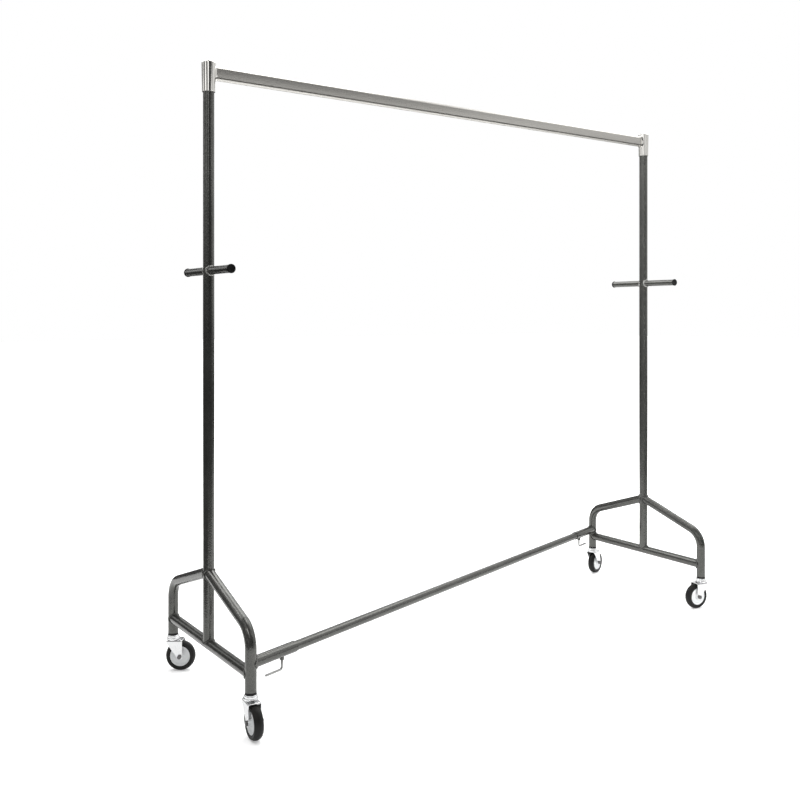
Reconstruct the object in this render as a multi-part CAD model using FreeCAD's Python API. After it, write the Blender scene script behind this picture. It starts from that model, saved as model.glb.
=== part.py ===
"""Rolling clothes rack: two welded end frames, a hanging rail, a diagonal brace and four casters.

+X runs along the rack from the left end frame to the right one, +Y from the front legs to the
rear legs, +Z up. Z is 0 on the floor. Every caster is stored swivelled its own way, so the origin
is the centre of the footprint's bounding rectangle and not the centre between the uprights.
"""
import FreeCAD, Part
import math
import os

# Overall layout, millimetres
SPAN = 2030.0
DEPTH = 600.0
LEG_BOTTOM = 127.0
LEG_KINK = 298.0
LEG_APEX = 400.0
CROSSBAR_Z = 176.0
BRACE_Z = 207.0
HANDLE_Z = 1341.0
RAIL_Z = 1960.0
FITTING_BOTTOM = 1899.0
FITTING_TOP = 2000.0

# Tubes
UPRIGHT_R = 17.5
LEG_R = 17.0
LEG_BEND_R = 72.0
CROSSBAR_R = 16.5
TUBE_WALL = 1.5
UPRIGHT_FOOT_RISE = 5.0
HANDLE_R = 12.5
HANDLE_LENGTH = 330.0
HANDLE_CAP_R = 14.0
HANDLE_CAP_THICK = 5.0
HANDLE_PLUG_LENGTH = 18.0
PLUG_SLACK = 0.1

# Hanging rail, an upright flat oval with round edges
RAIL_HEIGHT = 44.0
RAIL_WIDTH = 20.0
RAIL_WALL = 1.5
RAIL_POCKET = 6.0

# Top fitting
FITTING_R_BOTTOM = 20.2
FITTING_R_TOP = 22.3
FITTING_EDGE_R = 3.5
FITTING_DOME = 10.0
FITTING_SOCKET_TOP = 1933.0
FITTING_SLACK = 0.1
BOSS_ROOT = 12.0
BOSS_REACH = 25.0
BOSS_ROOT_RISE = 11.0
BOSS_ROOT_SPREAD = 6.0
BOSS_MOUTH_WALL = 2.2
GRUB_R = 3.0
GRUB_INSET = 12.0
GRUB_LOW_Z = 1918.0

# Diagonal brace: a long tube sliding in a sleeve at either end
SLEEVE_R = 16.8
SLEEVE_BORE_R = 15.0
SLEEVE_LENGTH = 175.0
BRACE_R = 14.5
BRACE_WALL = 1.5
BRACE_INSERTION = 110.0
CLAMP_DISTANCE_LEFT = 123.0
CLAMP_DISTANCE_RIGHT = 135.0

# Clamp screw, a threaded rod bent into a handle, and its welded nut
NUT_FLATS = 13.0
NUT_HEIGHT = 8.0
THREAD_R = 4.0
THREAD_CLEARANCE = 0.06
THREAD_LENGTH = 22.0
SCREW_TIP_GAP = 0.3
ROD_R = 3.6
ROD_DROP = 36.0
ROD_ARM = 66.0
ROD_BEND_R = 9.0

# Caster
WHEEL_R = 50.0
TRAIL = 26.0
TYRE_INNER_R = 33.5
TYRE_HALF_WIDTH = 14.0
TYRE_BEAD_HALF_WIDTH = 12.0
TYRE_SHOULDER_R = 44.0
HUB_R = 12.0
HUB_HALF_WIDTH = 17.5
DISC_HALF_WIDTH = 9.5
RIM_INNER_R = 29.5
BUSH_R = 6.0
BUSH_CLEARANCE = 0.06
AXLE_R = 4.0
AXLE_FLATS = 13.0
AXLE_HEAD = 5.3
AXLE_NUT = 6.5
AXLE_STUB = 2.0
FORK_INNER = 18.0
FORK_SHEET = 2.5
FORK_FRONT = 19.0
FORK_SHOULDER_Z = 98.5
FORK_EYE_R = 9.0
FORK_REAR = TRAIL + FORK_EYE_R
CROWN_BOTTOM = 102.5
CROWN_TOP = 105.0
RACE_TOP = 107.9
RACE_R = 20.0
RACE_BORE_R = 11.0
BALL_R = 2.4
BALL_RING_R = 15.5
BALL_COUNT = 14
BALL_Z = 110.4
CAP_R = 22.2
CAP_SKIRT_BORE_R = 20.7
CAP_BOTTOM = 106.6
CAP_SHOULDER = 111.2
CAP_SKIRT_TOP = 109.8
CAP_CAVITY_R = 18.2
CAP_UNDERSIDE = 112.9
CAP_UPPER_R = 19.6
CAP_TOP = 117.4
STEM_R = 5.0
STEM_CLEARANCE = 0.06
STEM_TOP = 165.0
KINGPIN_HEAD_R = 8.0
KINGPIN_HEAD_BOTTOM = 98.9
KINGPIN_HEAD_TOP = 102.2
FLANGE_R = 18.0
COLLAR_BOTTOM = 120.0

# Swivel heading of each caster, degrees anticlockwise from +X: the wheel trails this way
CORNERS = {
    "front_left": (-1, -1, -95.9),
    "rear_left": (-1, 1, -35.7),
    "front_right": (1, -1, 169.9),
    "rear_right": (1, 1, 16.7),
}
SIDES = {"left": -1, "right": 1}

X_AXIS = FreeCAD.Vector(1, 0, 0)
Y_AXIS = FreeCAD.Vector(0, 1, 0)
Z_AXIS = FreeCAD.Vector(0, 0, 1)


def point(x, y, z):
    return FreeCAD.Vector(x, y, z)


def upright_base(side):
    return point(side * SPAN / 2, 0, 0)


def leg_base(side, end):
    return point(side * SPAN / 2, end * DEPTH / 2, 0)


def rod(start, end, radius):
    run = end - start
    return Part.makeCylinder(radius, run.Length, start, run)


def tube(start, end, radius, wall):
    return rod(start, end, radius).cut(rod(start, end, radius - wall))


def bent_path(corners, radius):
    """A wire through the corner points with one tangent arc at the middle corner."""
    start, corner, end = corners
    before = (start - corner).normalize()
    after = (end - corner).normalize()
    half_turn = (math.pi - before.getAngle(after)) / 2
    reach = radius * math.tan(half_turn)
    arc_start = corner + before * reach
    arc_end = corner + after * reach
    bisector = (before + after).normalize()
    arc_middle = corner + bisector * (radius / math.cos(half_turn) - radius)
    edges = [
        Part.LineSegment(start, arc_start).toShape(),
        Part.Arc(arc_start, arc_middle, arc_end).toShape(),
        Part.LineSegment(arc_end, end).toShape(),
    ]
    return Part.Wire(edges)


def swept_rod(path, radius):
    start = path.Vertexes[0].Point
    direction = path.Edges[0].tangentAt(path.Edges[0].FirstParameter)
    section = Part.Wire([Part.Circle(start, direction, radius).toShape()])
    return path.makePipeShell([section], True, False)


def revolved(profile, origin, axis):
    """Turn a closed list of points and arcs, given in the XZ plane, about an axis."""
    face = Part.Face(Part.Wire(profile))
    return face.revolve(origin, axis, 360)


def outline(points):
    closed = points + points[:1]
    return [Part.LineSegment(a, b).toShape() for a, b in zip(closed, closed[1:])]


def ring_profile(pairs):
    """An outline from (radius, height) pairs, in the XZ plane."""
    return outline([point(radius, 0, height) for radius, height in pairs])


def hexagon(centre, direction, flats, height):
    corner_r = flats / math.sqrt(3)
    corners = []
    for step in range(6):
        angle = math.radians(60 * step)
        corners.append(point(corner_r * math.cos(angle), corner_r * math.sin(angle), 0))
    prism = Part.Face(Part.Wire(outline(corners))).extrude(Z_AXIS * height)
    prism.Placement = FreeCAD.Placement(centre, FreeCAD.Rotation(Z_AXIS, direction))
    return prism


def flat_oval(start_x, end_x, height, width):
    """A solid bar along X, centred on the rail's axis, with half-round top and bottom edges."""
    low = min(start_x, end_x)
    length = abs(end_x - start_x)
    straight = height - width
    body = Part.makeBox(length, width, straight, point(low, -width / 2, RAIL_Z - straight / 2))
    for end in (-1, 1):
        edge_centre = point(low, 0, RAIL_Z + end * straight / 2)
        body = body.fuse(Part.makeCylinder(width / 2, length, edge_centre, X_AXIS))
    return body.removeSplitter()


# End frames

def leg(side, end):
    """A bent leg: upright below, then sloping up to meet the upright tube."""
    base = leg_base(side, end)
    corners = [
        base + Z_AXIS * LEG_BOTTOM,
        base + Z_AXIS * LEG_KINK,
        upright_base(side) + Z_AXIS * LEG_APEX,
    ]
    path = bent_path(corners, LEG_BEND_R)
    solid = swept_rod(path, LEG_R).cut(swept_rod(path, LEG_R - TUBE_WALL))
    return solid.cut(upright_envelope(side))


def upright_envelope(side):
    base = upright_base(side)
    return rod(base + Z_AXIS * CROSSBAR_Z, base + Z_AXIS * FITTING_BOTTOM, UPRIGHT_R)


def upright(side):
    """The vertical tube, saddled on the crossbar and drilled for the handle."""
    base = upright_base(side)
    foot = base + Z_AXIS * (CROSSBAR_Z + UPRIGHT_FOOT_RISE)
    solid = tube(foot, base + Z_AXIS * FITTING_SOCKET_TOP, UPRIGHT_R, TUBE_WALL)
    solid = solid.cut(crossbar_envelope(side))
    return solid.cut(handle_envelope(side))


def crossbar_envelope(side):
    reach = DEPTH / 2
    middle = upright_base(side) + Z_AXIS * CROSSBAR_Z
    return rod(middle - Y_AXIS * reach, middle + Y_AXIS * reach, CROSSBAR_R)


def crossbar(side):
    """The low bar between the two legs, coped to both."""
    reach = DEPTH / 2
    middle = upright_base(side) + Z_AXIS * CROSSBAR_Z
    solid = tube(middle - Y_AXIS * reach, middle + Y_AXIS * reach, CROSSBAR_R, TUBE_WALL)
    for end in (-1, 1):
        base = leg_base(side, end)
        solid = solid.cut(rod(base + Z_AXIS * LEG_BOTTOM, base + Z_AXIS * LEG_KINK, LEG_R))
    return solid


def handle_ends(side):
    middle = upright_base(side) + Z_AXIS * HANDLE_Z
    return middle - Y_AXIS * HANDLE_LENGTH / 2, middle + Y_AXIS * HANDLE_LENGTH / 2


def handle_envelope(side):
    start, end = handle_ends(side)
    return rod(start, end, HANDLE_R)


def handle(side):
    start, end = handle_ends(side)
    return tube(start, end, HANDLE_R, TUBE_WALL)


def handle_caps(side):
    """Two plastic end caps, each a rounded disc with a plug inside the tube."""
    caps = []
    for mouth, outward in zip(handle_ends(side), (-Y_AXIS, Y_AXIS)):
        disc = Part.makeCylinder(HANDLE_CAP_R, HANDLE_CAP_THICK, mouth, outward)
        rim = [edge for edge in disc.Edges if outer_rim(edge, mouth, outward, HANDLE_CAP_THICK)]
        disc = disc.makeFillet(HANDLE_CAP_THICK * 0.6, rim)
        plug_r = HANDLE_R - TUBE_WALL - PLUG_SLACK
        plug = Part.makeCylinder(plug_r, HANDLE_PLUG_LENGTH, mouth, -outward)
        caps.append(disc.fuse(plug).removeSplitter())
    return Part.makeCompound(caps)


def outer_rim(edge, origin, outward, distance):
    """True for the circular edge that lies the given distance out from origin."""
    heights = [(vertex.Point - origin).dot(outward) for vertex in edge.Vertexes]
    return all(abs(height - distance) < 0.001 for height in heights)


# Hanging rail and its fittings

def rail_reach():
    return SPAN / 2 - RAIL_POCKET


def rail():
    reach = rail_reach()
    outer = flat_oval(-reach, reach, RAIL_HEIGHT, RAIL_WIDTH)
    inner_height = RAIL_HEIGHT - 2 * RAIL_WALL
    inner_width = RAIL_WIDTH - 2 * RAIL_WALL
    solid = outer.cut(flat_oval(-reach - 1, reach + 1, inner_height, inner_width))
    return solid.removeSplitter()


def fitting_body():
    """The cast cap about Z: slightly wider at the top, with a rounded edge and a low dome."""
    shoulder_z = FITTING_TOP - FITTING_DOME
    edge_centre_r = FITTING_R_TOP - FITTING_EDGE_R
    edge_tilt = math.radians(60)
    edge_end = point(
        edge_centre_r + FITTING_EDGE_R * math.cos(edge_tilt),
        0,
        shoulder_z + FITTING_EDGE_R * math.sin(edge_tilt),
    )
    edge_middle = point(
        edge_centre_r + FITTING_EDGE_R * math.cos(edge_tilt / 2),
        0,
        shoulder_z + FITTING_EDGE_R * math.sin(edge_tilt / 2),
    )
    top = point(0, 0, FITTING_TOP)
    rise = FITTING_TOP - edge_end.z
    dome_r = (edge_end.x ** 2 + rise ** 2) / (2 * rise)
    half_angle = math.asin(edge_end.x / dome_r) / 2
    dome_x = dome_r * math.sin(half_angle)
    dome_middle = point(dome_x, 0, FITTING_TOP - dome_r + dome_r * math.cos(half_angle))
    bottom_inner = point(0, 0, FITTING_BOTTOM)
    bottom_outer = point(FITTING_R_BOTTOM, 0, FITTING_BOTTOM)
    shoulder = point(FITTING_R_TOP, 0, shoulder_z)
    profile = [
        Part.LineSegment(bottom_inner, bottom_outer).toShape(),
        Part.LineSegment(bottom_outer, shoulder).toShape(),
        Part.Arc(shoulder, edge_middle, edge_end).toShape(),
        Part.Arc(edge_end, dome_middle, top).toShape(),
        Part.LineSegment(top, bottom_inner).toShape(),
    ]
    return revolved(profile, point(0, 0, 0), Z_AXIS)


def oval_wire(x, height, width):
    """The flat oval outline in the plane at x, for lofting."""
    half = (height - width) / 2
    radius = width / 2
    corners = [
        point(x, -radius, RAIL_Z - half),
        point(x, -radius, RAIL_Z + half),
        point(x, radius, RAIL_Z + half),
        point(x, radius, RAIL_Z - half),
    ]
    edges = [
        Part.LineSegment(corners[0], corners[1]).toShape(),
        Part.Arc(corners[1], point(x, 0, RAIL_Z + half + radius), corners[2]).toShape(),
        Part.LineSegment(corners[2], corners[3]).toShape(),
        Part.Arc(corners[3], point(x, 0, RAIL_Z - half - radius), corners[0]).toShape(),
    ]
    return Part.Wire(edges)


def top_fitting(side):
    """Socket casting: takes the upright from below and the rail from the inner side."""
    inward = -side
    root_height = RAIL_HEIGHT + 2 * BOSS_ROOT_RISE
    root_width = RAIL_WIDTH + 2 * BOSS_ROOT_SPREAD
    root = oval_wire(inward * BOSS_ROOT, root_height, root_width)
    mouth_height = RAIL_HEIGHT + 2 * BOSS_MOUTH_WALL
    mouth_width = RAIL_WIDTH + 2 * BOSS_MOUTH_WALL
    mouth = oval_wire(inward * BOSS_REACH, mouth_height, mouth_width)
    boss = Part.makeLoft([root, mouth], True, True)
    solid = fitting_body().fuse(boss)
    pocket_height = RAIL_HEIGHT + 2 * FITTING_SLACK
    pocket_width = RAIL_WIDTH + 2 * FITTING_SLACK
    pocket_start = inward * RAIL_POCKET
    pocket = flat_oval(pocket_start, inward * (BOSS_REACH + 1), pocket_height, pocket_width)
    solid = solid.cut(pocket)
    socket_r = UPRIGHT_R + FITTING_SLACK
    solid = solid.cut(rod(point(0, 0, FITTING_BOTTOM - 1), point(0, 0, FITTING_SOCKET_TOP), socket_r))
    for start, end in grub_axes(side):
        solid = solid.cut(rod(start, end + Y_AXIS * FITTING_R_TOP, GRUB_R))
    solid = solid.removeSplitter()
    solid.translate(upright_base(side))
    return solid


def grub_axes(side):
    """Start and end of each hidden set screw, about the fitting's own axis, on the rear side."""
    x = -side * GRUB_INSET
    rail_face = RAIL_WIDTH / 2
    surface = math.sqrt(FITTING_R_TOP ** 2 - GRUB_INSET ** 2) - 1.0
    upper = (point(x, rail_face, RAIL_Z), point(x, surface, RAIL_Z))
    lower = (point(0, UPRIGHT_R, GRUB_LOW_Z), point(0, FITTING_R_BOTTOM, GRUB_LOW_Z))
    return upper, lower


def fitting_screws():
    screws = []
    for side in SIDES.values():
        for start, end in grub_axes(side):
            screw = rod(start, end, GRUB_R)
            screw.translate(upright_base(side))
            screws.append(screw)
    return Part.makeCompound(screws)


# Diagonal brace

def brace_ends():
    return leg_base(-1, -1) + Z_AXIS * BRACE_Z, leg_base(1, 1) + Z_AXIS * BRACE_Z


def brace_direction():
    start, end = brace_ends()
    return (end - start).normalize()


def sleeve_frame(side):
    """The leg end of a sleeve and the direction that it points in."""
    start, end = brace_ends()
    if side < 0:
        return start, brace_direction()
    return end, -brace_direction()


def clamp_point(side):
    root, outward = sleeve_frame(side)
    distance = CLAMP_DISTANCE_LEFT if side < 0 else CLAMP_DISTANCE_RIGHT
    return root + outward * distance


def sleeve(side):
    root, outward = sleeve_frame(side)
    mouth = root + outward * SLEEVE_LENGTH
    solid = rod(root, mouth, SLEEVE_R).cut(rod(root, mouth, SLEEVE_BORE_R))
    leg_solid = rod(root - Z_AXIS * 60, root + Z_AXIS * 60, LEG_R)
    clamp = clamp_point(side)
    hole = rod(clamp - Z_AXIS * 2 * SLEEVE_R, clamp, THREAD_R + THREAD_CLEARANCE)
    return solid.cut(leg_solid).cut(hole)


def brace():
    start, end = brace_ends()
    inset = brace_direction() * (SLEEVE_LENGTH - BRACE_INSERTION)
    return tube(start + inset, end - inset, BRACE_R, BRACE_WALL)


def nut_bottom():
    return BRACE_Z - SLEEVE_R - NUT_HEIGHT


def clamp_nut(side):
    """A hexagon nut saddled to the underside of the sleeve."""
    clamp = clamp_point(side)
    base = point(clamp.x, clamp.y, nut_bottom())
    solid = hexagon(base, Z_AXIS, NUT_FLATS, NUT_HEIGHT + 2)
    root, outward = sleeve_frame(side)
    solid = solid.cut(rod(root, root + outward * SLEEVE_LENGTH, SLEEVE_R))
    thread = rod(base - Z_AXIS, base + Z_AXIS * (NUT_HEIGHT + 3), THREAD_R + THREAD_CLEARANCE)
    return solid.cut(thread)


def clamp_screw(side):
    """A cranked rod: threaded shank up into the sleeve, arm pointing back at its own leg."""
    clamp = clamp_point(side)
    outward = sleeve_frame(side)[1]
    tip = clamp - Z_AXIS * (BRACE_R + SCREW_TIP_GAP)
    elbow = clamp - Z_AXIS * (SLEEVE_R + ROD_DROP)
    path = bent_path([tip, elbow, elbow - outward * ROD_ARM], ROD_BEND_R)
    thread = rod(tip - Z_AXIS * THREAD_LENGTH, tip, THREAD_R)
    return swept_rod(path, ROD_R).fuse(thread).removeSplitter()


# Casters, modelled about the swivel axis with the wheel trailing along +X

def axle_centre():
    return point(TRAIL, 0, WHEEL_R)


def about_axle(pairs):
    """Turn (radius, sideways) pairs about the wheel's axle."""
    centre = axle_centre()
    corners = [centre + point(0, sideways, radius) for radius, sideways in pairs]
    face = Part.Face(Part.Wire(outline(corners)))
    return face.revolve(centre, Y_AXIS, 360)


def tyre():
    centre = axle_centre()
    bead_left = centre + point(0, -TYRE_BEAD_HALF_WIDTH, TYRE_INNER_R)
    wall_left = centre + point(0, -TYRE_HALF_WIDTH, TYRE_SHOULDER_R)
    crown = centre + point(0, 0, WHEEL_R)
    wall_right = centre + point(0, TYRE_HALF_WIDTH, TYRE_SHOULDER_R)
    bead_right = centre + point(0, TYRE_BEAD_HALF_WIDTH, TYRE_INNER_R)
    edges = [
        Part.LineSegment(bead_left, wall_left).toShape(),
        Part.Arc(wall_left, crown, wall_right).toShape(),
        Part.LineSegment(wall_right, bead_right).toShape(),
        Part.LineSegment(bead_right, bead_left).toShape(),
    ]
    return Part.Face(Part.Wire(edges)).revolve(centre, Y_AXIS, 360)


def wheel():
    """The plastic wheel centre: hub, dished discs and a rim under the tyre."""
    bore = BUSH_R + BUSH_CLEARANCE
    side_pairs = [
        (bore, HUB_HALF_WIDTH),
        (HUB_R, HUB_HALF_WIDTH),
        (HUB_R + 2, DISC_HALF_WIDTH),
        (RIM_INNER_R, DISC_HALF_WIDTH),
        (RIM_INNER_R + 1, TYRE_BEAD_HALF_WIDTH),
        (TYRE_INNER_R, TYRE_BEAD_HALF_WIDTH),
    ]
    other_side = [(radius, -sideways) for radius, sideways in reversed(side_pairs)]
    return about_axle(side_pairs + other_side)


def bush():
    """The steel spacer clamped between the fork legs, on which the hub turns."""
    pairs = [
        (AXLE_R, -FORK_INNER),
        (BUSH_R, -FORK_INNER),
        (BUSH_R, FORK_INNER),
        (AXLE_R, FORK_INNER),
    ]
    return about_axle(pairs)


def axle():
    """A hexagon bolt through fork and bush, with its nut, as two solids."""
    centre = axle_centre()
    outer = FORK_INNER + FORK_SHEET
    shank_end = outer + AXLE_NUT + AXLE_STUB
    head = hexagon(centre - Y_AXIS * outer, -Y_AXIS, AXLE_FLATS, AXLE_HEAD)
    shank = rod(centre - Y_AXIS * outer, centre + Y_AXIS * shank_end, AXLE_R)
    nut = hexagon(centre + Y_AXIS * outer, Y_AXIS, AXLE_FLATS, AXLE_NUT)
    return Part.makeCompound([head.fuse(shank), nut.cut(shank)])


def fork_leg_outline():
    """Rear edge straight down to the eye, front edge slanting back to it from the crown."""
    centre = axle_centre()
    front_top = point(-FORK_FRONT, 0, CROWN_BOTTOM)
    front_low = point(-FORK_FRONT, 0, FORK_SHOULDER_Z)
    front_touch = eye_touch(front_low)
    eye_bottom = centre - Z_AXIS * FORK_EYE_R
    rear_touch = point(FORK_REAR, 0, centre.z)
    rear_top = point(FORK_REAR, 0, CROWN_BOTTOM)
    edges = [
        Part.LineSegment(rear_top, front_top).toShape(),
        Part.LineSegment(front_top, front_low).toShape(),
        Part.LineSegment(front_low, front_touch).toShape(),
        Part.Arc(front_touch, eye_bottom, rear_touch).toShape(),
        Part.LineSegment(rear_touch, rear_top).toShape(),
    ]
    return Part.Wire(edges)


def eye_touch(start):
    """Where a line from start meets the eye tangentially on its front side."""
    centre = axle_centre()
    run = start - centre
    heading = math.atan2(run.z, run.x) + math.acos(FORK_EYE_R / run.Length)
    return centre + point(FORK_EYE_R * math.cos(heading), 0, FORK_EYE_R * math.sin(heading))


def fork():
    """Pressed fork: two legs, a flat crown and the lower ball race on top."""
    outer = FORK_INNER + FORK_SHEET
    crown_corner = point(-FORK_FRONT, -outer, CROWN_BOTTOM)
    thickness = CROWN_TOP - CROWN_BOTTOM
    crown = Part.makeBox(FORK_FRONT + FORK_REAR, 2 * outer, thickness, crown_corner)
    solid = crown
    for start_y in (-outer, FORK_INNER):
        face = Part.Face(fork_leg_outline())
        face.translate(Y_AXIS * start_y)
        solid = solid.fuse(face.extrude(Y_AXIS * FORK_SHEET))
    race = ring_profile([(RACE_BORE_R, CROWN_TOP), (RACE_R, CROWN_TOP), (RACE_R - 1, RACE_TOP),
                         (RACE_BORE_R, RACE_TOP)])
    solid = solid.fuse(revolved(race, point(0, 0, 0), Z_AXIS)).removeSplitter()
    bends = [edge for edge in solid.Edges if crown_bend(edge, outer)]
    solid = solid.makeFillet(FORK_SHEET * 0.9, bends)
    centre = axle_centre()
    solid = solid.cut(rod(centre - Y_AXIS * 2 * outer, centre + Y_AXIS * 2 * outer, AXLE_R))
    kingpin = rod(point(0, 0, CROWN_BOTTOM - 1), point(0, 0, CROWN_TOP + 1), STEM_R + STEM_CLEARANCE)
    return solid.cut(kingpin)


def crown_bend(edge, outer):
    """True for the two long top edges where the sheet turns down."""
    ends = [vertex.Point for vertex in edge.Vertexes]
    if len(ends) != 2:
        return False
    on_top = all(abs(end.z - CROWN_TOP) < 0.001 for end in ends)
    on_side = all(abs(abs(end.y) - outer) < 0.001 for end in ends)
    return on_top and on_side


def balls():
    ring = []
    for step in range(BALL_COUNT):
        angle = 2 * math.pi * step / BALL_COUNT
        x = BALL_RING_R * math.cos(angle)
        y = BALL_RING_R * math.sin(angle)
        ring.append(Part.makeSphere(BALL_R, point(x, y, BALL_Z)))
    return Part.makeCompound(ring)


def race_cap():
    """The upper race: a two-step cup turned down over the balls."""
    pairs = [
        (STEM_R, CAP_UNDERSIDE),
        (CAP_CAVITY_R, CAP_UNDERSIDE),
        (CAP_CAVITY_R, CAP_SKIRT_TOP),
        (CAP_SKIRT_BORE_R, CAP_SKIRT_TOP),
        (CAP_SKIRT_BORE_R, CAP_BOTTOM),
        (CAP_R, CAP_BOTTOM),
        (CAP_R, CAP_SHOULDER),
        (CAP_UPPER_R, CAP_SHOULDER),
        (CAP_UPPER_R, CAP_TOP),
        (STEM_R, CAP_TOP),
    ]
    return revolved(ring_profile(pairs), point(0, 0, 0), Z_AXIS)


def stem():
    """Kingpin and stem in one, with a round flange between the race cap and the collar."""
    pairs = [
        (0, KINGPIN_HEAD_BOTTOM),
        (KINGPIN_HEAD_R, KINGPIN_HEAD_BOTTOM),
        (KINGPIN_HEAD_R, KINGPIN_HEAD_TOP),
        (STEM_R, KINGPIN_HEAD_TOP),
        (STEM_R, CAP_TOP),
        (FLANGE_R, CAP_TOP),
        (FLANGE_R, COLLAR_BOTTOM),
        (STEM_R, COLLAR_BOTTOM),
        (STEM_R, STEM_TOP),
        (0, STEM_TOP),
    ]
    return revolved(ring_profile(pairs), point(0, 0, 0), Z_AXIS)


def insert():
    """Plastic socket pressed into the leg: a collar below and a plug around the stem."""
    plug_r = LEG_R - TUBE_WALL - PLUG_SLACK
    pairs = [
        (STEM_R, COLLAR_BOTTOM),
        (LEG_R, COLLAR_BOTTOM),
        (LEG_R, LEG_BOTTOM),
        (plug_r, LEG_BOTTOM),
        (plug_r, STEM_TOP),
        (STEM_R, STEM_TOP),
    ]
    return revolved(ring_profile(pairs), point(0, 0, 0), Z_AXIS)


def at_corner(shape, corner):
    """Swivel a caster piece to its heading and put it under its leg."""
    side, end, heading = CORNERS[corner]
    placed = shape.copy()
    placed.rotate(point(0, 0, 0), Z_AXIS, heading)
    placed.translate(leg_base(side, end))
    return placed


def caster_nodes():
    pieces = {
        "insert": insert(),
        "stem": stem(),
        "race_cap": race_cap(),
        "balls": balls(),
        "fork": fork(),
        "axle": axle(),
        "bush": bush(),
        "wheel": wheel(),
        "tyre": tyre(),
    }
    nodes = {}
    for corner in CORNERS:
        for name, shape in pieces.items():
            nodes[f"{name}_{corner}"] = at_corner(shape, corner)
    return nodes


def frame_nodes():
    nodes = {}
    for name, side in SIDES.items():
        nodes[f"upright_{name}"] = upright(side)
        nodes[f"leg_front_{name}"] = leg(side, -1)
        nodes[f"leg_rear_{name}"] = leg(side, 1)
        nodes[f"crossbar_{name}"] = crossbar(side)
        nodes[f"handle_{name}"] = handle(side)
        nodes[f"handle_caps_{name}"] = handle_caps(side)
        nodes[f"top_fitting_{name}"] = top_fitting(side)
        nodes[f"sleeve_{name}"] = sleeve(side)
        nodes[f"clamp_nut_{name}"] = clamp_nut(side)
        nodes[f"clamp_screw_{name}"] = clamp_screw(side)
    nodes["brace"] = brace()
    nodes["rail"] = rail()
    nodes["fitting_screws"] = fitting_screws()
    return nodes


def footprint_centre(nodes):
    """The middle of the bounding rectangle of everything, at floor level."""
    box = FreeCAD.BoundBox()
    for shape in nodes.values():
        box.add(shape.optimalBoundingBox(False, False))
    return point((box.XMin + box.XMax) / 2, (box.YMin + box.YMax) / 2, 0)


def main():
    nodes = {**frame_nodes(), **caster_nodes()}
    centre = footprint_centre(nodes)
    os.makedirs("parts", exist_ok=True)
    for name, shape in nodes.items():
        shape.translate(-centre)
        shape.exportStep(f"parts/{name}.step")
    print(f"rack centre stands at {-centre.x:.3f}, {-centre.y:.3f} from the origin")


main()
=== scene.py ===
import math
import bmesh
import bpy
from mathutils import Matrix, Vector


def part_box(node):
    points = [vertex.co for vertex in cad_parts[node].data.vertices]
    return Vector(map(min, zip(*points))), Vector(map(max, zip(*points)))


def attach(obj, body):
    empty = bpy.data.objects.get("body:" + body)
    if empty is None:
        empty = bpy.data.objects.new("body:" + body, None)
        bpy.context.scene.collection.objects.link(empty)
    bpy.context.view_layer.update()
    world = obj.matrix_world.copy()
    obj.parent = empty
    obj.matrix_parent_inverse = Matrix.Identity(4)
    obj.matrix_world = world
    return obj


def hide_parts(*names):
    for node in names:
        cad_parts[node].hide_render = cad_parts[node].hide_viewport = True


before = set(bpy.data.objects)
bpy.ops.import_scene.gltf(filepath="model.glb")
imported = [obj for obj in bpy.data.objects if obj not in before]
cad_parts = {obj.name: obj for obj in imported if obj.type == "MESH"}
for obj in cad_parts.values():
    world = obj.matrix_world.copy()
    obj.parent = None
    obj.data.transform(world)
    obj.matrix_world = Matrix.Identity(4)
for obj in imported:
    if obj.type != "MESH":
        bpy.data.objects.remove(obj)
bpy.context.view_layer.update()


# Painted end frames: uprights, bent legs and crossbars of mild steel tube, cut to length, the legs
# bent cold in one place, everything coped and welded, then coated in hammered grey paint.
left_low, left_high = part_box("upright_left")
right_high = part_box("upright_right")[1]
rack_middle = (left_low + right_high) / 2
span = right_high.x - left_high.x
leg_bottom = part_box("leg_front_left")[0][2]
upright_radius = 0.0175
leg_radius = 0.017
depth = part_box("leg_rear_left")[1][1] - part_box("leg_front_left")[0][1] - 2 * leg_radius
crossbar_radius = 0.0165
crossbar_height = 0.176
upright_foot = crossbar_height + 0.005
leg_kink = 0.298
leg_apex = 0.400
leg_bend = 0.072
upright_top = left_high[2]
SIDES = {"left": -1, "right": 1}
ENDS = {"front": -1, "rear": 1}


def rack(x, y, z):
    """A point from the rack's own middle line, on the floor, to the frame's axes."""
    return Vector((rack_middle.x + x, rack_middle.y + y, z))


def wire_mesh(name, points, closed=False):
    """A bare line through the points, for a node tree to turn into metal."""
    links = [(i, i + 1) for i in range(len(points) - 1)]
    if closed:
        links.append((len(points) - 1, 0))
    line = bpy.data.meshes.new(name)
    line.from_pydata(points, links, [])
    return line


def feed(tree, socket, value):
    """Link the socket to another, or set it to a plain value."""
    if isinstance(value, bpy.types.NodeSocket):
        tree.links.new(value, socket)
    else:
        socket.default_value = value


def add_node(tree, kind, sockets, **settings):
    """Add a node with its settings, and feed its sockets; a socket is named or numbered."""
    added = tree.nodes.new(kind)
    for label, value in settings.items():
        setattr(added, label, value)
    for label, value in sockets.items():
        feed(tree, added.inputs[label], value)
    return added


def new_tree(name, inputs):
    """An empty geometry node tree with a geometry socket each way and the named inputs."""
    kinds = {float: "NodeSocketFloat", int: "NodeSocketInt", type(None): "NodeSocketMaterial"}
    tree = bpy.data.node_groups.new(name, "GeometryNodeTree")
    tree.interface.new_socket("Geometry", in_out="INPUT", socket_type="NodeSocketGeometry")
    for label, value in {**inputs, "Material": None}.items():
        socket = tree.interface.new_socket(label, in_out="INPUT", socket_type=kinds[type(value)])
        if value is not None:
            socket.default_value = value
    tree.interface.new_socket("Geometry", in_out="OUTPUT", socket_type="NodeSocketGeometry")
    given = tree.nodes.new("NodeGroupInput").outputs
    return tree, given, tree.nodes.new("NodeGroupOutput").inputs


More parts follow.
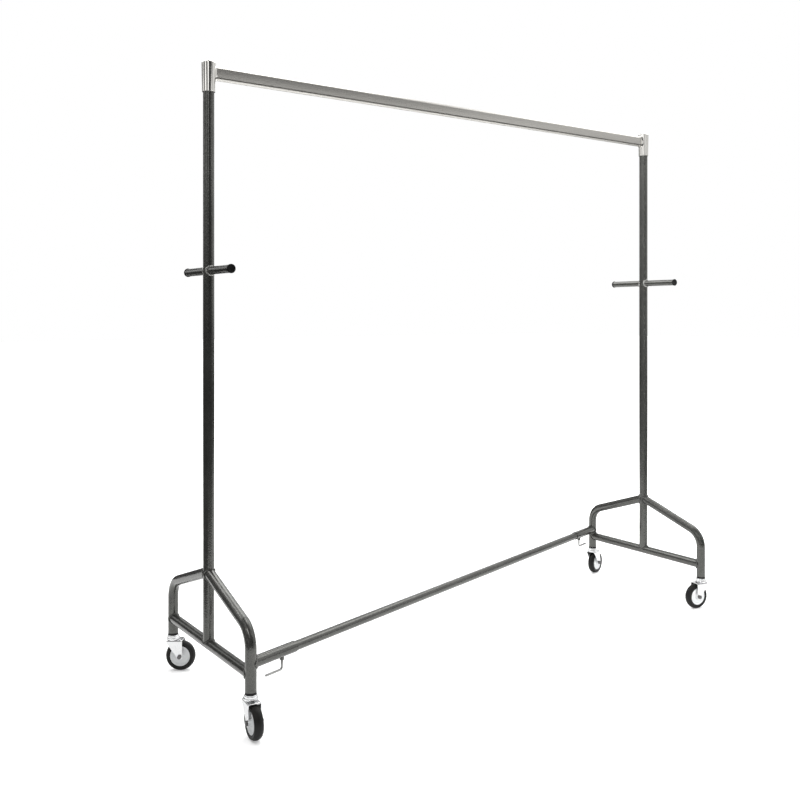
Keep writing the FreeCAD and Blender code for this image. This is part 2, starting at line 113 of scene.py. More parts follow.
def finish_tree(tree, given, result, geometry, sharp_angle=35):
    """Smooth the faces but keep corners crisp, realise, and set the material."""
    angle = add_node(tree, "GeometryNodeInputMeshEdgeAngle", {}).outputs["Unsigned Angle"]
    corner = add_node(tree, "FunctionNodeCompare", {"A": angle, "B": math.radians(sharp_angle)},
                      operation="LESS_THAN").outputs["Result"]
    real = add_node(tree, "GeometryNodeRealizeInstances", {"Geometry": geometry}).outputs[0]
    soft = add_node(tree, "GeometryNodeSetShadeSmooth", {"Geometry": real}, domain="FACE").outputs[0]
    crisp = add_node(tree, "GeometryNodeSetShadeSmooth", {"Geometry": soft, "Shade Smooth": corner},
                     domain="EDGE").outputs[0]
    coat = add_node(tree, "GeometryNodeSetMaterial",
                    {"Geometry": crisp, "Material": given["Material"]})
    tree.links.new(coat.outputs["Geometry"], result["Geometry"])


def ring_section(tree, radius, sides):
    """A round section to sweep along a line."""
    return add_node(tree, "GeometryNodeCurvePrimitiveCircle",
                    {"Resolution": sides, "Radius": radius}).outputs["Curve"]


def grow(name, tree, start, **settings):
    """Run a tree on a starting mesh and keep the result as a plain mesh object."""
    piece = bpy.data.objects.new(name, start)
    bpy.context.collection.objects.link(piece)
    growth = piece.modifiers.new("grow", "NODES")
    growth.node_group = tree
    for item in tree.interface.items_tree:
        if item.item_type == "SOCKET" and item.in_out == "INPUT" and item.name in settings:
            growth[item.identifier] = settings[item.name]
    depsgraph = bpy.context.evaluated_depsgraph_get()
    grown = bpy.data.meshes.new_from_object(piece.evaluated_get(depsgraph))
    piece.modifiers.remove(growth)
    piece.data = grown
    grown.name = name
    return piece


def tube_tree():
    """Round bar along a line, with one fillet radius at every corner of the line."""
    tree, given, result = new_tree("round_tube", {
        "Radius": 0.017, "Bend": 0.07, "Sides": 56, "Bend_steps": 28})
    line = add_node(tree, "GeometryNodeMeshToCurve", {"Mesh": given["Geometry"]})
    bend = add_node(tree, "GeometryNodeFilletCurve", {}, mode="POLY")
    for label, value in (("Curve", line.outputs["Curve"]), ("Radius", given["Bend"]),
                         ("Count", given["Bend_steps"]), ("Limit Radius", True)):
        feed(tree, bend.inputs[label], value)
    skin = add_node(tree, "GeometryNodeCurveToMesh", {
        "Curve": bend.outputs["Curve"], "Fill Caps": True,
        "Profile Curve": ring_section(tree, given["Radius"], given["Sides"])})
    finish_tree(tree, given, result, skin.outputs["Mesh"])
    return tree


round_tube = tube_tree()


def new_material(name):
    """A node material, its tree, and the inputs of its Principled shader."""
    material = bpy.data.materials.new(name)
    material.use_nodes = True
    return material, material.node_tree, material.node_tree.nodes["Principled BSDF"].inputs


def grey(level):
    """A neutral grey."""
    return (level, level, level, 1.0)


def new_shader_group(name, inputs):
    """A shader group with named number or colour inputs, giving colour, roughness and height."""
    group = bpy.data.node_groups.new(name, "ShaderNodeTree")
    for label, value in inputs.items():
        kind = "NodeSocketColor" if isinstance(value, tuple) else "NodeSocketFloat"
        group.interface.new_socket(label, in_out="INPUT", socket_type=kind).default_value = value
    for label, kind in (("Color", "Color"), ("Roughness", "Float"), ("Height", "Float")):
        group.interface.new_socket(label, in_out="OUTPUT", socket_type=f"NodeSocket{kind}")
    given = group.nodes.new("NodeGroupInput").outputs
    return group, given, group.nodes.new("NodeGroupOutput").inputs


def math_node(tree, operation, first, second=None, third=None, clamp=False):
    """One arithmetic step; each argument is a socket or a number."""
    values = {place: value for place, value in enumerate((first, second, third))
              if value is not None}
    return add_node(tree, "ShaderNodeMath", values, operation=operation, use_clamp=clamp).outputs[0]


def blend_colours(tree, factor, first, second):
    """Mix two colours; each is a socket or an RGBA tuple."""
    mix = add_node(tree, "ShaderNodeMix", {}, data_type="RGBA")
    for place, value in ((0, factor), (6, first), (7, second)):
        feed(tree, mix.inputs[place], value)
    return mix.outputs[2]


def object_noise(tree, scale, detail=3.0, stretch=None, roughness=0.5):
    """Noise on the piece's own coordinates; scale is in cycles per metre."""
    source = add_node(tree, "ShaderNodeTexCoord", {}).outputs["Object"]
    if stretch:
        source = add_node(tree, "ShaderNodeMapping", {"Scale": stretch, "Vector": source}).outputs[0]
    return add_node(tree, "ShaderNodeTexNoise", {
        "Detail": detail, "Roughness": roughness, "Scale": scale, "Vector": source}).outputs["Fac"]


def hammered_group():
    """Hammered paint: pooled cells with raised rims, fine orange peel, and settled dust."""
    group, given, result = new_shader_group("hammered_paint", {
        "Cell size": 0.006, "Pooling": 0.5, "Dust": 0.1,
        "Deep": grey(0.03), "Bright": grey(0.1)})
    cells = add_node(group, "ShaderNodeTexVoronoi", {}, feature="SMOOTH_F1")
    place = add_node(group, "ShaderNodeTexCoord", {}).outputs["Object"]
    scale = math_node(group, "DIVIDE", 1.0, given["Cell size"])
    for label, value in (("Smoothness", 0.6), ("Scale", scale), ("Vector", place)):
        feed(group, cells.inputs[label], value)
    distance = cells.outputs["Distance"]
    peel = object_noise(group, 420.0, detail=4.0)
    broad = object_noise(group, 9.0, detail=2.0)
    rim = math_node(group, "MULTIPLY", distance, given["Pooling"])
    shade = math_node(group, "ADD", rim, math_node(group, "MULTIPLY", broad, 0.55), clamp=True)
    paint = blend_colours(group, shade, given["Deep"], given["Bright"])
    dust_lie = math_node(group, "MULTIPLY", object_noise(group, 60.0, detail=6.0), broad)
    dust = math_node(group, "MULTIPLY", dust_lie, given["Dust"], clamp=True)
    feed(group, result["Color"], blend_colours(group, dust, paint, (0.30, 0.29, 0.27, 1.0)))
    sheen = math_node(group, "MULTIPLY_ADD", peel, 0.12, 0.12)
    worn = math_node(group, "ADD", sheen, math_node(group, "MULTIPLY", dust, 0.8))
    feed(group, result["Roughness"], worn)
    relief = math_node(group, "ADD", distance, math_node(group, "MULTIPLY", peel, 0.22))
    feed(group, result["Height"], relief)
    return group


hammered_paint = hammered_group()


def add_bump(tree, shader, height, strength, distance):
    """Drive the shader's normal from a height socket; distance is in metres."""
    bump = add_node(tree, "ShaderNodeBump", {
        "Strength": strength, "Distance": distance, "Height": height})
    feed(tree, shader["Normal"], bump.outputs["Normal"])


def coated(name, group, values, strength, relief, **plain):
    """A material from a shader group set to its own values; plain values go on the shader."""
    material, tree, shader = new_material(name)
    effect = add_node(tree, "ShaderNodeGroup", {}, node_tree=group)
    for label, value in values.items():
        effect.inputs[label].default_value = value
    feed(tree, shader["Base Color"], effect.outputs["Color"])
    feed(tree, shader["Roughness"], effect.outputs["Roughness"])
    add_bump(tree, shader, effect.outputs["Height"], strength, relief)
    for label, value in plain.items():
        shader[label.replace("_", " ")].default_value = value
    return material


def painted_steel(name, cell_size, dust, deep, bright, relief):
    """The grey coating of the welded frame."""
    values = {"Cell size": cell_size, "Pooling": 0.5, "Dust": dust, "Deep": deep, "Bright": bright}
    return coated(name, hammered_paint, values, 0.6, relief,
                  Metallic=0.75, Coat_Weight=0.20, Coat_Roughness=0.12)


frame_paint = painted_steel("frame_paint", 0.0045, 0.06, (0.042, 0.043, 0.040, 1.0),
                            (0.135, 0.136, 0.127, 1.0), 0.00050)


def tube(name, points, radius, stands_for, bend=0.0):
    """One frame tube in paint, standing for its CAD node and riding with the frame."""
    piece = grow(name, round_tube, wire_mesh(name, points), Radius=radius, Bend=bend,
                 Material=frame_paint)
    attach(piece, "frame")
    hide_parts(stands_for)
    return piece


for side_name, side in SIDES.items():
    x = side * span / 2
    tube(f"upright_tube_{side_name}", [rack(x, 0, upright_foot), rack(x, 0, upright_top)],
         upright_radius, f"upright_{side_name}")
    tube(f"crossbar_tube_{side_name}",
         [rack(x, -depth / 2, crossbar_height), rack(x, depth / 2, crossbar_height)],
         crossbar_radius, f"crossbar_{side_name}")
    for end_name, end in ENDS.items():
        y = end * depth / 2
        corners = [rack(x, y, leg_bottom), rack(x, y, leg_kink), rack(x, 0, leg_apex)]
        tube(f"leg_tube_{end_name}_{side_name}", corners, leg_radius,
             f"leg_{end_name}_{side_name}", bend=leg_bend)


# Handle bars: a short tube passed through each upright at hand height and welded in, closed at
# both ends by moulded black plastic caps with a rounded rim and a plug inside the tube.
handle_height = (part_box("handle_left")[0][2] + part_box("handle_left")[1][2]) / 2
handle_radius = 0.0125
handle_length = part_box("handle_left")[1][1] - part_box("handle_left")[0][1]
handle_cap_radius = 0.014
handle_cap_thickness = 0.005
handle_plug = 0.018


def arc_points(centre, radius, start, end, steps):
    """(radius, height) pairs along an arc, angles in degrees from the outward radius."""
    pairs = []
    for step in range(steps + 1):
        angle = math.radians(start + (end - start) * step / steps)
        pairs.append((centre[0] + radius * math.cos(angle), centre[1] + radius * math.sin(angle)))
    return pairs


def built_mesh(name, vertices, faces, sharp_angle=35):
    """A finished mesh from its points and faces."""
    made = bpy.data.meshes.new(name)
    made.from_pydata(vertices, [], faces)
    return tidy_mesh(made, sharp_angle)


def bands(rings, closed=False):
    """Faces between each ring of point numbers and the next; a pole repeats one number."""
    pairs = list(zip(rings, rings[1:]))
    if closed:
        pairs.append((rings[-1], rings[0]))
    faces = []
    for low, high in pairs:
        for step in range(len(low)):
            after = (step + 1) % len(low)
            corners = [low[step], low[after], high[after], high[step]]
            faces.append(list(dict.fromkeys(corners)))
    return faces


def lathe(name, pairs, sides=64, closed=False):
    """Turn (radius, height) pairs about Z into a closed mesh; a radius of 0 is a pole."""
    rings = []
    vertices = []
    for radius, height in pairs:
        first = len(vertices)
        if radius < 1e-7:
            vertices.append((0.0, 0.0, height))
            rings.append([first] * sides)
            continue
        for step in range(sides):
            angle = 2 * math.pi * step / sides
            vertices.append((radius * math.cos(angle), radius * math.sin(angle), height))
        rings.append(list(range(first, first + sides)))
    return built_mesh(name, vertices, bands(rings, closed))


def tidy_mesh(mesh, sharp_angle=35):
    """Point the faces outwards, shade smooth and keep the real corners crisp."""
    work = bmesh.new()
    work.from_mesh(mesh)
    bmesh.ops.recalc_face_normals(work, faces=work.faces)
    for face in work.faces:
        face.smooth = True
    for edge in work.edges:
        edge.smooth = len(edge.link_faces) == 2 and edge.calc_face_angle(0) < math.radians(sharp_angle)
    work.to_mesh(mesh)
    work.free()
    return mesh


def join_meshes(name, meshes):
    """Several meshes as one, each kept closed."""
    work = bmesh.new()
    for mesh in meshes:
        work.from_mesh(mesh)
    joined = bpy.data.meshes.new(name)
    work.to_mesh(joined)
    work.free()
    return joined


def moved(mesh, place):
    """Move a mesh made at the origin to its place."""
    mesh.transform(Matrix.Translation(place))
    return mesh


def turned_to(mesh, origin, axis):
    """Move a mesh made about Z so that its Z lies along axis, from origin."""
    turn = Vector((0, 0, 1)).rotation_difference(Vector(axis)).to_matrix().to_4x4()
    mesh.transform(Matrix.Translation(origin) @ turn)
    return mesh


def stand(name, mesh, material, body, slot, *nodes):
    """Make a finished mesh into a piece of the rack."""
    piece = bpy.data.objects.new(name, mesh)
    bpy.context.collection.objects.link(piece)
    mesh.materials.clear()
    mesh.materials.append(material)
    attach(piece, body)
    if nodes:
        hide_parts(*nodes)
    return piece


def moulded_group():
    """Moulded plastic: spark-eroded texture, faint flow streaks and handling marks."""
    group, given, result = new_shader_group("moulded_plastic", {
        "Grain": 1600.0, "Streak": 0.3, "Base roughness": 0.4,
        "Dark": grey(0.01), "Light": grey(0.03)})
    grain = object_noise(group, given["Grain"], detail=2.0)
    flow = object_noise(group, 45.0, detail=5.0, roughness=0.65)
    shade = math_node(group, "MULTIPLY", flow, given["Streak"], clamp=True)
    tone = math_node(group, "MULTIPLY_ADD", grain, 0.25, shade)
    feed(group, result["Color"], blend_colours(group, tone, given["Dark"], given["Light"]))
    marks = math_node(group, "MULTIPLY_ADD", flow, 0.22, given["Base roughness"])
    feed(group, result["Roughness"], marks)
    feed(group, result["Height"], grain)
    return group


moulded_effect = moulded_group()


def moulded_plastic(name, grain, streak, roughness, dark, light, relief, gloss):
    """A plastic with the moulded effect set to its own values."""
    values = {"Grain": grain, "Streak": streak, "Base roughness": roughness, "Dark": dark,
              "Light": light}
    return coated(name, moulded_effect, values, 0.35, relief, Specular_IOR_Level=gloss)


black_plastic = moulded_plastic("black_plastic", 1500.0, 0.6, 0.34, grey(0.002), grey(0.010),
                                0.00006, gloss=0.2)


def handle_cap_mesh(name):
    """A cap about Z: plug below the mouth at zero height, rounded disc above it."""
    rim = 0.0018
    plug_radius = handle_radius - 0.0016
    top = handle_cap_thickness
    outline = [(0.0, -handle_plug), (plug_radius - 0.001, -handle_plug),
               (plug_radius, -handle_plug + 0.0015), (plug_radius, 0.0),
               (handle_cap_radius - 0.0004, 0.0), (handle_cap_radius, 0.0004)]
    outline += arc_points((handle_cap_radius - rim, top - rim), rim, 0, 80, 6)
    outline += [(handle_cap_radius * 0.72, top), (handle_cap_radius * 0.66, top - 0.0004),
                (handle_cap_radius * 0.3, top - 0.0003), (0.0, top - 0.0003)]
    return lathe(name, outline, sides=48)


for side_name, side in SIDES.items():
    x = side * span / 2
    half = handle_length / 2
    tube(f"handle_tube_{side_name}",
         [rack(x, -half, handle_height), rack(x, half, handle_height)],
         handle_radius, f"handle_{side_name}")
    caps = [turned_to(handle_cap_mesh("cap"), rack(x, end * half, handle_height), (0, end, 0))
            for end in ENDS.values()]
    stand(f"handle_end_caps_{side_name}", join_meshes(f"handle_end_caps_{side_name}", caps),
          black_plastic, "frame", "black_plastic", f"handle_caps_{side_name}")


# Diagonal brace: a long thin tube whose two ends slide in larger sleeves. One sleeve is welded to
# the front left leg, the other to the rear right leg, both a little above the crossbars.
brace_height = 0.207
sleeve_radius = 0.0168
sleeve_bore = 0.0150
sleeve_length = 0.175
brace_radius = 0.0145
brace_inset = sleeve_length - 0.110
brace_start = rack(-span / 2, -depth / 2, brace_height)
brace_end = rack(span / 2, depth / 2, brace_height)
brace_run = (brace_end - brace_start).normalized()
SLEEVES = {"left": (brace_start, brace_run), "right": (brace_end, -brace_run)}

tube("brace_tube", [brace_start + brace_run * brace_inset, brace_end - brace_run * brace_inset],
     brace_radius, "brace")


def sleeve_mesh(name):
    """The sleeve about Z, open at its mouth, closed deep inside where nothing shows."""
    lip = 0.0004
    outline = [(0.0, 0.004), (sleeve_radius, 0.004), (sleeve_radius, sleeve_length - lip),
               (sleeve_radius - lip, sleeve_length), (sleeve_bore + lip, sleeve_length),
               (sleeve_bore, sleeve_length - lip), (sleeve_bore, sleeve_length - 0.05),
               (0.0, sleeve_length - 0.05)]
    return lathe(name, outline, sides=56)


for side_name, (root, outward) in SLEEVES.items():
    name = f"brace_sleeve_{side_name}"
    stand(name, turned_to(sleeve_mesh(name), root, outward), frame_paint, "frame",
          "frame_paint", f"sleeve_{side_name}")


# Weld beads: a rippled fillet of weld metal round every coped joint of the frame, painted over.
# Each runs along the line where the smaller tube's skin meets the larger tube's skin. The beads
# at the handles are thicker, their paint made far lighter as a painted highlight on the weld.
bead_radius = 0.0034
bead_ripple = 0.0026
handle_bead_radius = 0.0040
run_up = 0.06
above_foot = 0.3


def saddle_line(origin, direction, branch_radius, trunk_point, trunk_axis, trunk_radius,
                limit=None, steps=72):
    """Where a branch tube, run from origin along direction, first meets the trunk tube."""
    direction = Vector(direction).normalized()
    trunk_axis = Vector(trunk_axis).normalized()
    side_way = direction.orthogonal().normalized()
    other_way = direction.cross(side_way)
    line = []
    for step in range(steps):
        angle = 2 * math.pi * step / steps
        offset = side_way * math.cos(angle) + other_way * math.sin(angle)
        start = origin + offset * branch_radius
        gap = start - trunk_point
        gap -= trunk_axis * gap.dot(trunk_axis)
        along = direction - trunk_axis * direction.dot(trunk_axis)
        a = along.dot(along)
        b = gap.dot(along)
        c = gap.dot(gap) - trunk_radius ** 2
        inside = max(b * b - a * c, 0.0)
        reach = (-b - math.sqrt(inside)) / a
        if limit is not None:
            reach = min(reach, limit)
        line.append(start + direction * reach + offset * 0.0006)
    return line


def bead_tree():
    """A weld bead along a closed line, its ripples a steady length and its width uneven."""
    tree, given, result = new_tree("weld_bead", {
        "Radius": bead_radius, "Ripple": bead_ripple, "Depth": 0.16, "Wander": 0.0007, "Seed": 3})
    line = add_node(tree, "GeometryNodeMeshToCurve", {"Mesh": given["Geometry"]}).outputs["Curve"]
    step = math_node(tree, "DIVIDE", given["Ripple"], 5.0)
    spaced = add_node(tree, "GeometryNodeResampleCurve", {"Curve": line, "Length": step},
                      mode="LENGTH").outputs["Curve"]
    wander = add_node(tree, "ShaderNodeTexNoise", {"Scale": 110.0}, noise_dimensions="4D")
    feed(tree, wander.inputs["W"], given["Seed"])
    place = add_node(tree, "GeometryNodeInputPosition", {}).outputs["Position"]
    feed(tree, wander.inputs["Vector"], place)
    centred = add_node(tree, "ShaderNodeVectorMath",
                       {0: wander.outputs["Color"], 1: (0.5, 0.5, 0.5)}, operation="SUBTRACT")
    scaled = add_node(tree, "ShaderNodeVectorMath", {0: centred.outputs[0], "Scale": given["Wander"]},
                      operation="SCALE")
    shifted = add_node(tree, "GeometryNodeSetPosition",
                 {"Geometry": spaced, "Offset": scaled.outputs["Vector"]}).outputs["Geometry"]
    travel = add_node(tree, "GeometryNodeSplineParameter", {}).outputs["Length"]
    wave = math_node(tree, "FRACT", math_node(tree, "DIVIDE", travel, given["Ripple"]))
    ripple = math_node(tree, "MULTIPLY", math_node(tree, "POWER", wave, 2.2), given["Depth"])
    uneven = math_node(tree, "MULTIPLY_ADD", wander.outputs["Fac"], 0.5, 0.78)
    width = math_node(tree, "SUBTRACT", uneven, ripple)
    swollen = add_node(tree, "GeometryNodeSetCurveRadius", {"Curve": shifted, "Radius": width})
    skin = add_node(tree, "GeometryNodeCurveToMesh", {
        "Curve": swollen.outputs["Curve"], "Scale": width,
        "Profile Curve": ring_section(tree, given["Radius"], 10)})
    finish_tree(tree, given, result, skin.outputs["Mesh"], sharp_angle=80)
    return tree


weld_bead = bead_tree()


def frame_joints(side):
    """The closed joint lines of one end frame."""
    x = side * span / 2
    foot = rack(x, 0, 0)
    up = Vector((0, 0, 1))
    lines = []
    for end in ENDS.values():
        y = end * depth / 2
        outward = Vector((0, end, 0))
        apex = rack(x, 0, leg_apex)
        slope = (apex - rack(x, y, leg_kink)).normalized()
        lines.append(saddle_line(apex - slope * run_up, slope, leg_radius, foot, up, upright_radius))
        start = rack(x, y / 2, crossbar_height)
        lines.append(saddle_line(start, outward, crossbar_radius, rack(x, y, 0), up, leg_radius))
    drop = above_foot - upright_foot
    lines.append(saddle_line(rack(x, 0, above_foot), -up, upright_radius, rack(x, 0, crossbar_height),
                             (0, 1, 0), crossbar_radius, limit=drop))
    return lines


def weld_all(name, lines, material, radius):
    """One piece holding a bead along each of the joint lines."""
    beads = []
    for number, line in enumerate(lines):
        bead = grow("bead", weld_bead, wire_mesh("bead", line, closed=True), Seed=number,
                    Radius=radius, Material=material)
        beads.append(bead.data)
        bpy.data.objects.remove(bead)
    stand(name, join_meshes(name, beads), material, "frame", "frame_paint")


# The handle welds' paint: the frame coating made far lighter, a painted highlight for the glint on the
# weld.
handle_weld_painted_highlight = painted_steel("handle_weld_painted_highlight", 0.0035, 0.02, (0.16, 0.16, 0.15, 1.0),
                            (0.50, 0.50, 0.48, 1.0), 0.00020)

for side_name, side in SIDES.items():
    root, outward = SLEEVES[side_name]
    lines = frame_joints(side)
    lines.append(saddle_line(root + outward * run_up, -outward, sleeve_radius, root, (0, 0, 1),
                             leg_radius))
    weld_all(f"weld_beads_{side_name}", lines, frame_paint, bead_radius)
    foot = rack(side * span / 2, 0, 0)
    rings = [saddle_line(foot + Vector((0, end * run_up, handle_height)), (0, -end, 0),
                         handle_radius, foot, (0, 0, 1), upright_radius)
             for end in ENDS.values()]
    weld_all(f"handle_welds_{side_name}", rings, handle_weld_painted_highlight, handle_bead_radius)


# Brace clamps: a hexagon nut welded under each sleeve, and a zinc-plated rod bent to a right angle
# whose threaded end goes up through nut and sleeve and presses on the brace tube.
clamp_distances = {"left": 0.123, "right": 0.135}
nut_flats = 0.013
nut_height = 0.008
thread_radius = 0.0040
rod_radius = 0.0036
thread_pitch = 0.00125
thread_length = 0.022
thread_ridge = 0.00042
screw_gap = 0.0003
rod_drop = 0.036
rod_arm = 0.066
rod_bend = 0.009


def hex_mesh(name, flats, height, bore=0.0):
    """A hexagon about Z with both rims turned to a chamfer, and a through bore if it has one."""
    sides = 48
    chamfer = flats * 0.055

    def inner(angle):
        return bore if bore else 0.0004

    def hexagon(angle):
        within = (angle % (math.pi / 3)) - math.pi / 6
        return flats / 2 / math.cos(within)

    def turned(angle):
        return min(hexagon(angle), flats / 2 + chamfer * 0.2)

    vertices = []
    for level, outline in ((0.0, inner), (0.0, turned), (chamfer, hexagon),
                           (height - chamfer, hexagon), (height, turned), (height, inner)):
        for step in range(sides):
            angle = 2 * math.pi * step / sides
            radius = outline(angle)
            vertices.append((radius * math.cos(angle), radius * math.sin(angle), level))
    rings = [list(range(first, first + sides)) for first in range(0, len(vertices), sides)]
    ends = [] if bore else [rings[0], rings[-1]]
    return built_mesh(name, vertices, ends + bands(rings, closed=bool(bore)), sharp_angle=24)


def plated_group():
    """Plated steel: faint crystalline mottling and thumbed dull patches."""
    group, given, result = new_shader_group("plated_steel", {
        "Mottle size": 0.004, "Base roughness": 0.2, "Dulling": 0.2,
        "Shadow tone": grey(0.5), "Light tone": grey(0.8)})
    mottle = object_noise(group, math_node(group, "DIVIDE", 1.0, given["Mottle size"]), detail=4.0)
    broad = object_noise(group, 30.0, detail=3.0)
    tone = math_node(group, "MULTIPLY_ADD", mottle, 0.6, math_node(group, "MULTIPLY", broad, 0.4))
    colour = blend_colours(group, tone, given["Shadow tone"], given["Light tone"])
    feed(group, result["Color"], colour)
    dull = math_node(group, "MULTIPLY", broad, given["Dulling"])
    feed(group, result["Roughness"], math_node(group, "ADD", dull, given["Base roughness"]))
    feed(group, result["Height"], mottle)
    return group


plated_effect = plated_group()


def plated_steel(name, mottle, roughness, dulling, shadow, light, relief):
    """A plated finish with its own values."""
    values = {"Mottle size": mottle, "Base roughness": roughness, "Dulling": dulling,
              "Shadow tone": shadow, "Light tone": light}
    return coated(name, plated_effect, values, 0.15, relief, Metallic=1.0)


zinc = plated_steel("zinc", 0.0035, 0.12, 0.14, (0.64, 0.645, 0.65, 1.0),
                    (0.86, 0.865, 0.87, 1.0), 0.00005)
# The clamp rods' zinc: rougher than the rest, with its colour darkened as painted shade for the dim
# surroundings the rods reflect.
dull_zinc_painted_shade = plated_steel("dull_zinc_painted_shade", 0.0030, 0.30, 0.20, (0.30, 0.30, 0.295, 1.0),
                         (0.50, 0.50, 0.49, 1.0), 0.00005)


def thread_tree():
    """A raised thread wound on a core, from the height of zero upwards."""
    tree, given, result = new_tree("screw_thread", {
        "Radius": thread_radius, "Pitch": thread_pitch, "Length": thread_length})
    crest = math_node(tree, "SUBTRACT", given["Radius"], thread_ridge)
    helix = add_node(tree, "GeometryNodeCurveSpiral", {
        "Resolution": 24, "Rotations": math_node(tree, "DIVIDE", given["Length"], given["Pitch"]),
        "Start Radius": crest, "End Radius": crest, "Height": given["Length"]})
    skin = add_node(tree, "GeometryNodeCurveToMesh", {
        "Curve": helix.outputs["Curve"], "Fill Caps": True,
        "Profile Curve": ring_section(tree, thread_ridge, 5)})
    finish_tree(tree, given, result, skin.outputs["Mesh"], sharp_angle=60)
    return tree


screw_thread = thread_tree()

for side_name, (root, outward) in SLEEVES.items():
    clamp = root + outward * clamp_distances[side_name]
    seat = Vector((clamp.x, clamp.y, brace_height - sleeve_radius - nut_height))
    nut = hex_mesh("nut", nut_flats, nut_height + 0.0012, bore=thread_radius + 0.00006)
    stand(f"welded_nut_{side_name}", moved(nut, seat), frame_paint, "frame", "frame_paint",
          f"clamp_nut_{side_name}")
    tip = clamp - Vector((0, 0, brace_radius + screw_gap))
    elbow = clamp - Vector((0, 0, sleeve_radius + rod_drop))
    arm_end = elbow - outward * (rod_arm - 0.0008)
    rod = grow("rod", round_tube,
               wire_mesh("rod", [tip - Vector((0, 0, 0.001)), elbow, arm_end]),
               Radius=rod_radius, Bend=rod_bend, Sides=28, Bend_steps=14, Material=dull_zinc_painted_shade)
    ridge = grow("ridge", screw_thread, wire_mesh("ridge", [Vector((0, 0, 0))]),
                 Material=dull_zinc_painted_shade)
    moved(ridge.data, tip - Vector((0, 0, thread_length)))
    button_profile = arc_points((rod_radius - 0.0008, -0.0008), 0.0008, 0, 90, 4)
    button = lathe("button", [(0.0, -0.004), (rod_radius, -0.004)] + button_profile + [(0.0, 0.0)],
                   sides=28)
    turned_to(moved(button, (0, 0, 0.0008)), arm_end, -outward)
    name = f"clamp_handle_{side_name}"
    screw = join_meshes(name, [rod.data, ridge.data, button])
    bpy.data.objects.remove(rod)
    bpy.data.objects.remove(ridge)
    stand(name, screw, dull_zinc_painted_shade, f"clamp_{side_name}", "zinc", f"clamp_screw_{side_name}")


# Top fittings: one-piece castings, nickel plated and buffed. Each is a slightly tapered round
# socket over the upright with a low dome, and a flared boss on its inner side that holds the rail.
fitting_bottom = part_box("top_fitting_left")[0][2]
fitting_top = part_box("top_fitting_left")[1][2]
fitting_radius_bottom = 0.0202
fitting_radius_top = 0.0223
fitting_edge = 0.0035
fitting_shoulder = fitting_top - 0.010
fitting_bore = upright_radius + 0.0001
rail_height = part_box("rail")[1][2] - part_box("rail")[0][2]
rail_width = 0.020
rail_axis = (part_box("rail")[1][2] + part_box("rail")[0][2]) / 2
boss_root = 0.012
boss_reach = 0.025
boss_wall = 0.0022
boss_root_rise = 0.011
boss_root_spread = 0.006

nickel = plated_steel("nickel", 0.006, 0.06, 0.08, (0.60, 0.585, 0.55, 1.0),
                      (0.80, 0.79, 0.76, 1.0), 0.00004)


def fitting_socket_mesh():
    """The round part about Z, from its dark lower rim to the dome."""
    lip = 0.0007
    edge_centre = (fitting_radius_top - fitting_edge, fitting_shoulder)
    outline = [(0.0, fitting_bottom + 0.006), (fitting_bore, fitting_bottom + 0.006),
               (fitting_bore, fitting_bottom), (fitting_radius_bottom - lip, fitting_bottom)]
    outline += arc_points((fitting_radius_bottom - lip, fitting_bottom + lip), lip, -70, 0, 4)
    wall_low = Vector((fitting_radius_bottom, fitting_bottom + lip))
    wall_high = Vector((fitting_radius_top, fitting_shoulder))
    outline += [tuple(wall_low.lerp(wall_high, share)) for share in (0.012, 0.4, 0.7, 0.988)]
    outline += arc_points(edge_centre, fitting_edge, 0, 60, 10)
    start_radius, start_height = outline[-1]
    rise = fitting_top - start_height
    dome = (start_radius ** 2 + rise ** 2) / (2 * rise)
    spread = math.degrees(math.asin(start_radius / dome))
    outline += arc_points((0.0, fitting_top - dome), dome, 90 - spread * 0.92, 90, 12)[:-1]
    outline.append((0.0, fitting_top))
    return lathe("socket", outline, sides=80)


def oval_outline(height, width, steps=14):
    """(y, z) points round a flat oval with half-round top and bottom, about its own middle."""
    half = (height - width) / 2
    radius = width / 2
    points = []
    for end, first in ((1, 0), (-1, 180)):
        for step in range(steps + 1):
            angle = math.radians(first + 180 * step / steps)
            points.append((radius * math.cos(angle), end * half + radius * math.sin(angle)))
    return points


def loft_mesh(name, rings):
    """Skin a list of equal rings of points, capped at both ends."""
    count = len(rings[0])
    vertices = [corner for ring in rings for corner in ring]
    numbers = [list(range(level * count, (level + 1) * count)) for level in range(len(rings))]
    return built_mesh(name, vertices, bands(numbers) + [numbers[0], numbers[-1]])


def boss_mesh(inward):
    """The rail's socket: an oval collar that sweeps out to a taller web at the round body."""
    base = oval_outline(rail_height, rail_width)
    straight = (rail_height - rail_width) / 2
    rings = []

    def ring(x, rise, spread):
        row = []
        for y, z in base:
            arc_z = z - max(-straight, min(straight, z))
            away = Vector((y, arc_z)).normalized()
            row.append((inward * x, y + away.x * spread, rail_axis + z + away.y * rise))
        rings.append(row)

    steps = 14
    ring(boss_root - 0.004, boss_root_rise, boss_root_spread)
    for step in range(steps + 1):
        share = step / steps
        sweep = (1 - share) ** 1.7
        ring(boss_root + (boss_reach - 0.0005 - boss_root) * share,
             boss_wall + (boss_root_rise - boss_wall) * sweep,
             boss_wall + (boss_root_spread - boss_wall) * sweep)
    ring(boss_reach - 0.0001, boss_wall - 0.0004, boss_wall - 0.0004)
    ring(boss_reach, boss_wall - 0.0008, boss_wall - 0.0008)
    ring(boss_reach, 0.0001, 0.0001)
    ring(boss_reach - 0.006, 0.0001, 0.0001)
    return loft_mesh("boss", rings)


for side_name, side in SIDES.items():
    name = f"rail_fitting_{side_name}"
    casting = join_meshes(name, [fitting_socket_mesh(), boss_mesh(-side)])
    moved(casting, rack(side * span / 2, 0, 0))
    stand(name, casting, nickel, "frame", "nickel", f"top_fitting_{side_name}")


